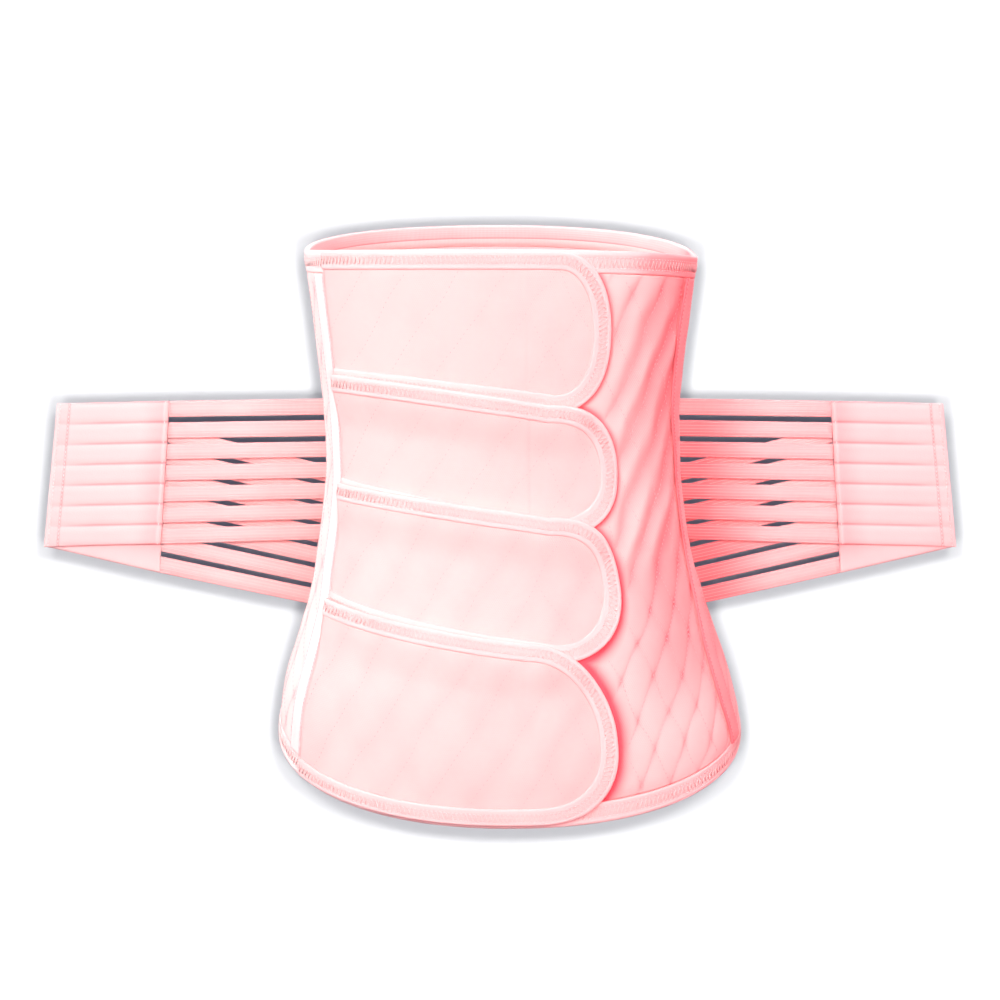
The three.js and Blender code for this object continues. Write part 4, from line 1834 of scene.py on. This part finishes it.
@dataclass
class Tapes:
    """The upright tapes over the side seams and over the wings' roots."""

    shop: Workshop
    stations: int = 200
    rows: tuple[float, float] = (0.14, 0.86)
    row_rise: float = 0.84
    edge_depth: float = 0.3

    def build(self) -> None:
        """Builds the four tapes."""
        half = CLOTH.anchor_width / 2
        thick = 2 * (CLOTH.strip + CLOTH.gap) + CLOTH.gap

        def beside_flaps(z: Grid) -> Grid:
            """Returns the turn just behind the flaps' root."""
            return CLOTH.flap_root - TORSO.turn_for(CLOTH.gap, CLOTH.flap_root + 0 * z, z)

        def beside_back(side: int) -> Edge:
            """Returns the turn of the edge of a back tape on one side."""
            return lambda z: side * (CLOTH.back_seam - TORSO.turn_for(half, CLOTH.back_seam + 0 * z, z))

        self._tape("left_seam_tape", beside_flaps, -1, CLOTH.tape_width, CLOTH.tape, 0.0)
        self._tape("right_seam_tape", TORSO.seam, 1, CLOTH.tape_width, CLOTH.tape, 0.5)
        self._tape("right_back_tape", beside_back(1), 1, CLOTH.anchor_width, thick, 0.1)
        self._tape("left_back_tape", beside_back(-1), -1, CLOTH.anchor_width, thick, 0.1)

    def _tape(self, node: str, seam: Edge, side: int, width: float, thick: float, tint: float) -> None:
        """Builds one tape and its two stitch rows.

        Args:
            node: the model's node that it stands for.
            seam: the turn of its first edge at heights.
            side: 1 where it lies past that edge, or -1.
            width: its width.
            thick: its thickness.
            tint: its depth of colour: painted shade, deepest on the right seam's tape, which lies in the
                right side's shade.
        """
        share = np.linspace(0, 1, self.stations)
        base = CLOTH.wall + CLOTH.tape_gap

        def line(across: float) -> tuple[Grid, Grid]:
            """Returns the turns and heights of an upright line on the tape."""
            return wall_place(lambda z: seam(z) + side * TORSO.turn_for(width * across, seam(z), z), share)

        columns = []
        for across, rise in TAPE_PROFILE:
            turn, z = line(across)
            columns.append(TORSO.point(turn, z, base + thick * rise))
        rings = np.stack(columns, axis=1)
        wide = np.array([across for across, _ in TAPE_PROFILE]) * width
        uv = np.stack(np.meshgrid(rings[:, 0, 2], wide, indexing="ij"), axis=-1)
        # Painted shade on the tape's sides and underside.
        edges = [(rise < 0.85) * (across < 0.9) for across, rise in TAPE_PROFILE]
        marks = tint + self.edge_depth * np.array(edges)
        depth = np.broadcast_to(marks[None, :], rings.shape[:2])
        piece = self.shop.mesher.tube(node + "_cloth", rings, uv, depth, Finish.TAPE)
        self.shop.join(piece, "tape", node)
        paths = Paths()
        for across in self.rows:
            turn, z = line(across)
            paths.add(TORSO.point(turn, z, base + thick * self.row_rise))
        self.shop.follow(self.shop.tape_rows, node + "_rows", paths, "tape")


# Each row of a strip's section holds its place across and its place from the front face to the back.
STRIP_PROFILE: tuple[tuple[float, float], ...] = (
    (0.0, 0.3),
    (0.04, 0.05),
    (0.5, 0.0),
    (0.96, 0.05),
    (1.0, 0.3),
    (1.0, 0.7),
    (0.96, 1.0),
    (0.5, 1.0),
    (0.04, 1.0),
    (0.0, 0.7),
)


@dataclass
class Wing:
    """One wing: an upper set of strips in front, a lower set that slants behind it, and the tab. A pair
    of heights is that at the tab and that at the back. The upper set is layer 0."""

    shop: Workshop
    word: str
    side: int
    count: int = 7
    widths: tuple[float, float] = (0.0106, 0.0112)
    strip_length: float = 0.16
    web_depth: float = 0.06
    strip_edge_shade: float = 1.2
    tab: float = 0.0014
    depth: float = 0.078
    inner_x: float = 0.2194
    inner_slant: float = 0.085
    outer_x: float = 0.2939
    outer_slant: float = 0.126
    tab_top: float = 0.0196
    tab_bottom: float = -0.0771
    upper_top: tuple[float, float] = (0.0214, 0.0258)
    upper_pitch: float = 0.01435
    lower_bottom: tuple[float, float] = (-0.0954, -0.1318)
    lower_pitch: tuple[float, float] = (0.0148, 0.0145)
    lower_tab_top: float = 0.018
    ribs: int = 5
    rib_sink: float = 0.0001
    tab_height: float = 0.095
    back_tab_size: tuple[float, float] = (0.075, 0.1)
    inner_seam: float = 0.0022
    end_seam: float = 0.0085
    end_row: float = 0.0025
    band_puff: float = 0.00045
    seam_puff: float = 0.0007

    def edges(self, layer: int, row: int, share: Grid) -> tuple[Grid, Grid]:
        """Returns the heights of a strip's upper and lower edge, from the tab (0) to the back (1).

        Args:
            layer: 0 for the upper set and 1 for the lower.
            row: the strip's number from the top.
            share: the share of the way.

        Returns:
            The upper and the lower heights.
        """
        if layer == 0:
            top = lerp(*self.upper_top, share) - row * self.upper_pitch
            return top, top - self.widths[0]
        low = lerp(*self.lower_bottom, share) + (self.count - 1 - row) * lerp(*self.lower_pitch, share)
        return low + self.widths[1], low

    def build(self) -> None:
        """Builds the strips and the tab."""
        ribs = Paths()
        for layer, layer_name in enumerate(("upper", "lower")):
            for row in range(self.count):
                self._strip(layer, f"{self.word}_{layer_name}_strip_{row + 1}", row, ribs)
        self.shop.follow(self.shop.web_ribs, f"{self.word}_wing_ribs", ribs, "elastic")
        self._front_tab()
        self._back_tab()

    def _placer(self, layer: int, row: int) -> Callable[[Grid, Grid, Grid], Grid]:
        """Returns the function that places a point of a strip.

        Args:
            layer: 0 for the upper set and 1 for the lower.
            row: the strip's number from the top.

        Returns:
            A function of the shares along and across the strip and the height over its front face.
        """
        offset = CLOTH.wall + 2 * CLOTH.gap + layer * (CLOTH.strip + CLOTH.gap)
        y = self.depth + layer * (self.tab + CLOTH.gap) + (self.tab - CLOTH.strip) / 2

        def place(along: Grid, across: Grid, out: Grid) -> Grid:
            """Returns the points at shares along the strip from the back and across it from below.

            Args:
                along: the shares along the strip.
                across: the shares across it.
                out: the distance behind its front face.

            Returns:
                The points.
            """
            top, low = self.edges(layer, row, 1.0)
            z = lerp(low, top, across)
            clear = CLOTH.anchor_width / 2 + CLOTH.gap
            turn = CLOTH.back_seam - TORSO.turn_for(clear, CLOTH.back_seam + 0 * z, z)
            start = TORSO.point(self.side * turn, z, offset + out)
            top, low = self.edges(layer, row, 0.0)
            z = lerp(low, top, across)
            x = self.inner_x - self.inner_slant * z - CLOTH.gap
            end = np.stack([self.side * x, y + out, z], axis=-1)
            return lerp(start, end, along[..., None])

        return place

    def _strip(self, layer: int, node: str, row: int, ribs: Paths) -> None:
        """Builds one elastic strip, and adds its ribs to the paths.

        Args:
            layer: 0 for the upper set and 1 for the lower.
            node: the model's node that it stands for.
            row: the strip's number from the top.
            ribs: the paths of the wing's ribs.
        """
        place = self._placer(layer, row)
        sides = [across for across, _ in STRIP_PROFILE]
        fronts = np.array([front for _, front in STRIP_PROFILE])
        along, across = np.meshgrid(np.linspace(0, 1, 40), sides, indexing="ij")
        out = np.broadcast_to(fronts[None, :] * CLOTH.strip, along.shape)
        rings = place(along, across, out)
        uv = np.stack([along * self.strip_length, across * self.widths[layer]], axis=-1)
        edge = np.abs(across - 0.5) * 2
        # Painted shade: on the strip's edges, and on its front face at the root, where the wrap's shadow
        # falls.
        shaded = (1 - smooth((along - 0.38) / 0.35)) * (1 - out / CLOTH.strip)
        edge_shade = self.strip_edge_shade * np.clip(edge - 0.8, 0, 1)
        depth = self.web_depth + edge_shade + self._root_shade(layer, row) * shaded
        piece = self.shop.mesher.tube(node + "_web", rings, uv, depth, Finish.ELASTIC)
        self.shop.join(piece, "elastic", node)
        share = np.linspace(0.0, 1.0, 24)
        for k in range(self.ribs):
            level = (k + 0.5) / self.ribs
            for rise in (self.rib_sink, CLOTH.strip - self.rib_sink):
                ribs.add(place(share, level + 0 * share, rise + 0 * share))

    def _root_shade(self, layer: int, row: int) -> float:
        """Returns how much painted shade deepens a strip's colour beside the wrap, whose shadow falls on the
        right wing.

        Args:
            layer: 0 for the upper set and 1 for the lower.
            row: the strip's number from the top.

        Returns:
            The depth that it adds.
        """
        if self.side < 0:
            return 0.1
        return 0.5 if layer or row else 0.15

    def _tab_point(
        self, along: Grid, top: tuple[float, float], low: tuple[float, float], across: Grid, y: Grid
    ) -> Grid:
        """Returns points on a tab between its inner edge (0) and its outer one (1).

        Args:
            along: the shares from the inner edge to the outer.
            top: the heights of the upper edge at its ends.
            low: the heights of the lower edge at its ends.
            across: the shares from the lower edge to the upper.
            y: the depths.

        Returns:
            The points.
        """
        inner_z = lerp(low[0], top[0], across)
        outer_z = lerp(low[1], top[1], across)
        inner_x = self.inner_x - self.inner_slant * inner_z
        x = lerp(inner_x, self.outer_x - self.outer_slant * outer_z, along)
        return np.stack([self.side * x, y, lerp(inner_z, outer_z, along)], axis=-1)

    def _front_tab(self) -> None:
        """Builds the tab's front layer: soft bands, a raised inner seam and a stitched end."""
        low_inner = self.edges(0, self.count - 1, 0.0)[1]
        top, low = (self.upper_top[0], self.tab_top), (low_inner, self.tab_bottom)
        length, height = self.outer_x - self.inner_x, self.tab_height
        u, v = unit_grid(110, 150)
        band = np.abs(np.sin(np.pi * v * self.count))
        groove = (1 - smooth(band / 0.32)) * smooth((1.05 - u) / 0.5)
        seam = np.exp(-(((u * length - self.inner_seam) / 0.0011) ** 2))
        row = np.exp(-(((u * length - (length - self.end_seam)) / 0.0008) ** 2))
        rim = smooth(np.minimum(np.minimum(v, 1 - v) * height, np.minimum(u, 1 - u) * length) / 0.0025)
        puff = self.band_puff * rim * smooth(band / 0.9) + self.seam_puff * seam
        out = puff - 0.0004 * groove - 0.0003 * row
        flat_u, flat_v = unit_grid(12, 12)
        # Painted shade in the grooves between the bands and along the end row; deeper in colour towards the
        # inner edge.
        piece = self.shop.mesher.shell(
            f"{self.word}_tab_front_cloth",
            self._tab_point(u, top, low, v, self.depth + 0.0002 - out),
            self._tab_point(flat_u, top, low, flat_v, self.depth + self.tab + 0 * flat_u),
            np.stack([u * length, v * height], axis=-1),
            np.stack([flat_u * length, flat_v * height], axis=-1),
            0.42 * groove + 0.25 * smooth((0.3 - u) / 0.3) * (1 - seam) + 0.3 * row,
            (Finish.TAB, Finish.TAB),
        )
        self.shop.join(piece, "tab", f"{self.word}_tab_front", fill=0.2)
        rows = Paths()
        share = np.linspace(0.01, 0.99, 60)
        for at in (self.inner_seam / length, 1 - self.end_seam / length, 1 - self.end_row / length):
            rows.add(self._tab_point(at + 0 * share, top, low, share, self.depth - 0.0004 + 0 * share))
        self.shop.follow(self.shop.needle_rows, f"{self.word}_tab_rows", rows, "tab")

    def _back_tab(self) -> None:
        """Builds the tab's back layer, which tapers to the outer corner below the front one."""
        top = (self.edges(1, 0, 0.0)[0], self.lower_tab_top)
        low = (self.lower_bottom[0], self.tab_bottom)
        start = self.depth + self.tab + CLOTH.gap
        length, height = self.back_tab_size
        u, v = unit_grid(60, 70)
        rim = smooth(np.minimum(v * height, u * length) / 0.002)
        flat_u, flat_v = unit_grid(10, 10)
        # Painted shade where the back layer lies under the front one, deepest at its top by the inner edge.
        piece = self.shop.mesher.shell(
            f"{self.word}_tab_back_cloth",
            self._tab_point(u, top, low, v, start + 0.0003 * (1 - rim)),
            self._tab_point(flat_u, top, low, flat_v, start + self.tab + 0 * flat_u),
            np.stack([u * length, v * height], axis=-1),
            np.stack([flat_u * length, flat_v * height], axis=-1),
            0.5 * smooth((v - 0.02) / 0.3) * (1 - smooth(u / 0.75)),
            (Finish.TAB, Finish.TAB),
        )
        self.shop.join(piece, "tab", f"{self.word}_tab_back", fill=0.2)


@dataclass(frozen=True)
class Lamp:
    """A square or round soft lamp that faces the binder."""

    name: str
    turn: float
    rise: float
    distance: float
    size: float
    light: float
    colour: Colour
    only: tuple[str, ...] = ()

    def build(self, pieces: Sequence[Object], aim: tuple[float, float, float]) -> None:
        """Builds the lamp.

        Args:
            pieces: the binder's pieces, of which it lights those that it names, or all.
            aim: the point that it faces.
        """
        lit = bpy.data.collections.new("lit_by_" + self.name)
        for piece in pieces:
            if not self.only or piece.name.startswith(self.only):
                lit.objects.link(piece)
        turn, rise = math.radians(self.turn), math.radians(self.rise)
        toward = Vector((math.sin(turn) * math.cos(rise), -math.cos(turn) * math.cos(rise), math.sin(rise)))
        data = bpy.data.lights.new(self.name, "AREA")
        data.size = self.size
        data.energy = self.light * math.pi**2 * self.distance**2
        data.color = self.colour
        lamp = bpy.data.objects.new(self.name, data)
        lamp.location = Vector(aim) + toward * self.distance
        lamp.rotation_euler = toward.to_track_quat("Z", "Y").to_euler()
        lamp.visible_camera = False
        lamp.light_linking.receiver_collection = lit
        bpy.context.scene.collection.objects.link(lamp)


CORAL: Colour = (1.0, 0.15, 0.18)
BLUSH: Colour = (1.0, 0.5, 0.52)
WHITE: Colour = (1.0, 1.0, 1.0)

# What the lamp that serves the left side alone lights.
LEFT_SIDE = ("left_seam_tape", "left_side_panel", "top_binding", "bottom_binding")

LAMPS: tuple[Lamp, ...] = (
    Lamp("key", -20, 32, 2.2, 0.7, 0.54, WHITE),
    Lamp("front", 10, 22, 2.6, 1.2, 0.45, WHITE),
    Lamp("left", -88, 12, 2.2, 0.8, 0.38, WHITE),
    Lamp("left_side", -98, 12, 2.2, 0.8, 0.42, WHITE, LEFT_SIDE),
    Lamp("back", 165, 35, 2.4, 1.4, 0.95, WHITE),
    Lamp("glow_front", 10, 5, 2.4, 2.4, 0.6, CORAL),
    Lamp("glow_right", 80, 15, 2.4, 2.4, 0.9, CORAL),
    Lamp("glow_left", -95, 10, 2.4, 2.4, 0.5, CORAL),
    Lamp("glow_back", 180, 10, 2.4, 2.4, 0.6, CORAL),
    Lamp("glow_top", 0, 85, 2.2, 2.4, 0.7, BLUSH),
)


@dataclass(frozen=True)
class Studio:
    """The floor, the backdrop, the camera and the lights."""

    floor_height: float = -1.6
    floor_reach: float = 30.0
    backdrop_distance: float = 4.9
    backdrop_reach: float = 16.0
    camera_distance: float = 1.7
    aim_z: float = -0.027795
    pitch: float = 12.5
    lens: float = 96.63
    sensor: float = 36.0
    lamp_spread: float = 0.008
    lamp_rise: float = 0.0115
    lamp_radius: float = 0.005
    backdrop_light: float = 274.0
    lamp_aim: tuple[float, float, float] = (0.0, 0.0, -0.03)
    sky: Colour = (0.09, 0.09, 0.127)

    def build(self) -> None:
        """Builds the studio round the binder."""
        pieces = [piece for piece in bpy.context.scene.objects if piece.type == "MESH"]
        for lamp in LAMPS:
            lamp.build(pieces, self.lamp_aim)
        self._floor()
        self._camera()
        self._backdrop()
        self._world()

    @staticmethod
    def _sheet(
        name: str,
        points: list[tuple[float, float, float]],
        glow: float,
        faces: Sequence[tuple[int, ...]] = ((0, 1, 2, 3),),
    ) -> Object:
        """Builds one plain pale sheet of the stage, which throws no light on the binder.

        Args:
            name: the sheet's name.
            points: its corners.
            glow: how strongly it glows.
            faces: its faces.

        Returns:
            The sheet.
        """
        mesh = bpy.data.meshes.new(name)
        mesh.from_pydata(points, [], faces)
        mesh.shade_smooth()
        paint = bpy.data.materials.new(name + "_paint")
        paint.use_nodes = True
        shader = paint.node_tree.nodes["Principled BSDF"]
        shader.inputs["Base Color"].default_value = (0.9, 0.9, 0.9, 1.0)
        shader.inputs["Roughness"].default_value = 0.95
        shader.inputs["Specular IOR Level"].default_value = 0.0
        shader.inputs["Emission Color"].default_value = (1.0, 1.0, 1.0, 1.0)
        shader.inputs["Emission Strength"].default_value = glow
        mesh.materials.append(paint)
        sheet = bpy.data.objects.new(name, mesh)
        bpy.context.scene.collection.objects.link(sheet)
        sheet.visible_diffuse = False
        sheet.visible_glossy = False
        sheet.visible_shadow = False
        sheet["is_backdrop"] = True
        return sheet

    def _floor(self) -> None:
        """Builds the floor and the walls far round it."""
        reach, z = self.floor_reach, self.floor_height
        around = [(-reach, -reach), (reach, -reach), (reach, reach), (-reach, reach)]
        self._sheet("floor", [(*corner, z) for corner in around], 1.0)
        for k, a in enumerate(around):
            b = around[(k + 1) % len(around)]
            self._sheet(f"far_wall_{k + 1}", [(*a, z), (*b, z), (*b, reach), (*a, reach)], 1.0)

    def _backdrop(self) -> None:
        """Builds the curved backdrop, which lamps close round the camera light, so the binder's shadow
        lies behind it."""
        camera = bpy.context.scene.camera
        turned = camera.rotation_euler.to_matrix()
        sheet = self._dome(camera.location, turned)
        lit = bpy.data.collections.new("lit_backdrop")
        lit.objects.link(sheet)
        for k, (side, up) in enumerate(((-1, -1), (1, -1), (1, 1), (-1, 1))):
            data = bpy.data.lights.new(f"backdrop_lamp_{k + 1}", "POINT")
            data.shadow_soft_size = self.lamp_radius
            data.energy = self.backdrop_light
            lamp = bpy.data.objects.new(data.name, data)
            rise = self.lamp_rise if up > 0 else self.lamp_spread
            away = Vector((side * self.lamp_spread, up * rise, 0.0))
            lamp.location = camera.location + turned @ away
            lamp.visible_camera = False
            lamp.light_linking.receiver_collection = lit
            bpy.context.scene.collection.objects.link(lamp)

    def _dome(self, centre: Vector, turned: Matrix) -> Object:
        """Builds the backdrop: a part of a ball round the camera, so that it is lit evenly.

        Args:
            centre: the camera's place.
            turned: the camera's turn.

        Returns:
            The backdrop.
        """
        count = 24
        slants = np.radians(np.linspace(-self.backdrop_reach, self.backdrop_reach, count))
        points, faces = [], []
        for up in slants:
            for aside in slants:
                away = Vector((math.tan(aside), math.tan(up), -1.0)).normalized()
                points.append(tuple(centre + turned @ away * self.backdrop_distance))
        for row in range(count - 1):
            for k in range(count - 1):
                at = row * count + k
                faces.append((at, at + 1, at + count + 1, at + count))
        return self._sheet("backdrop", points, 0.0, faces)

    def _camera(self) -> None:
        """Builds the camera at the photograph's angle."""
        data = bpy.data.cameras.new("camera")
        data.lens = self.lens
        data.sensor_width = self.sensor
        camera = bpy.data.objects.new("camera", data)
        pitch = math.radians(self.pitch)
        camera.location = (
            0.0,
            -self.camera_distance * math.cos(pitch),
            self.aim_z + self.camera_distance * math.sin(pitch),
        )
        camera.rotation_euler = (math.pi / 2 - pitch, 0.0, 0.0)
        bpy.context.scene.collection.objects.link(camera)
        bpy.context.scene.camera = camera

    def _world(self) -> None:
        """Builds the faint light from all round, and the plain colours of the picture."""
        world = bpy.data.worlds.new("studio")
        world.use_nodes = True
        sky = world.node_tree.nodes["Background"]
        sky.inputs["Color"].default_value = (*self.sky, 1.0)
        sky.inputs["Strength"].default_value = 1.0
        bpy.context.scene.world = world
        bpy.context.scene.view_settings.view_transform = "Standard"


def corners(box: tuple) -> list[list[float]]:
    """Returns a box's two corners as plain lists."""
    return [list(map(float, corner)) for corner in box]


def main() -> None:
    """Builds the binder and its studio."""
    logging.basicConfig(level=logging.INFO, format="%(name)s %(message)s")
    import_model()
    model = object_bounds()
    shop = Workshop()
    Walls(shop).build()
    Rims(shop).build()
    Flaps(shop).build()
    Tapes(shop).build()
    Wing(shop, "right", 1).build()
    Wing(shop, "left", -1).build()
    Studio().build()
    {"model": corners(model), "looks": corners(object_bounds())}


if __name__ == "__main__":
    main()
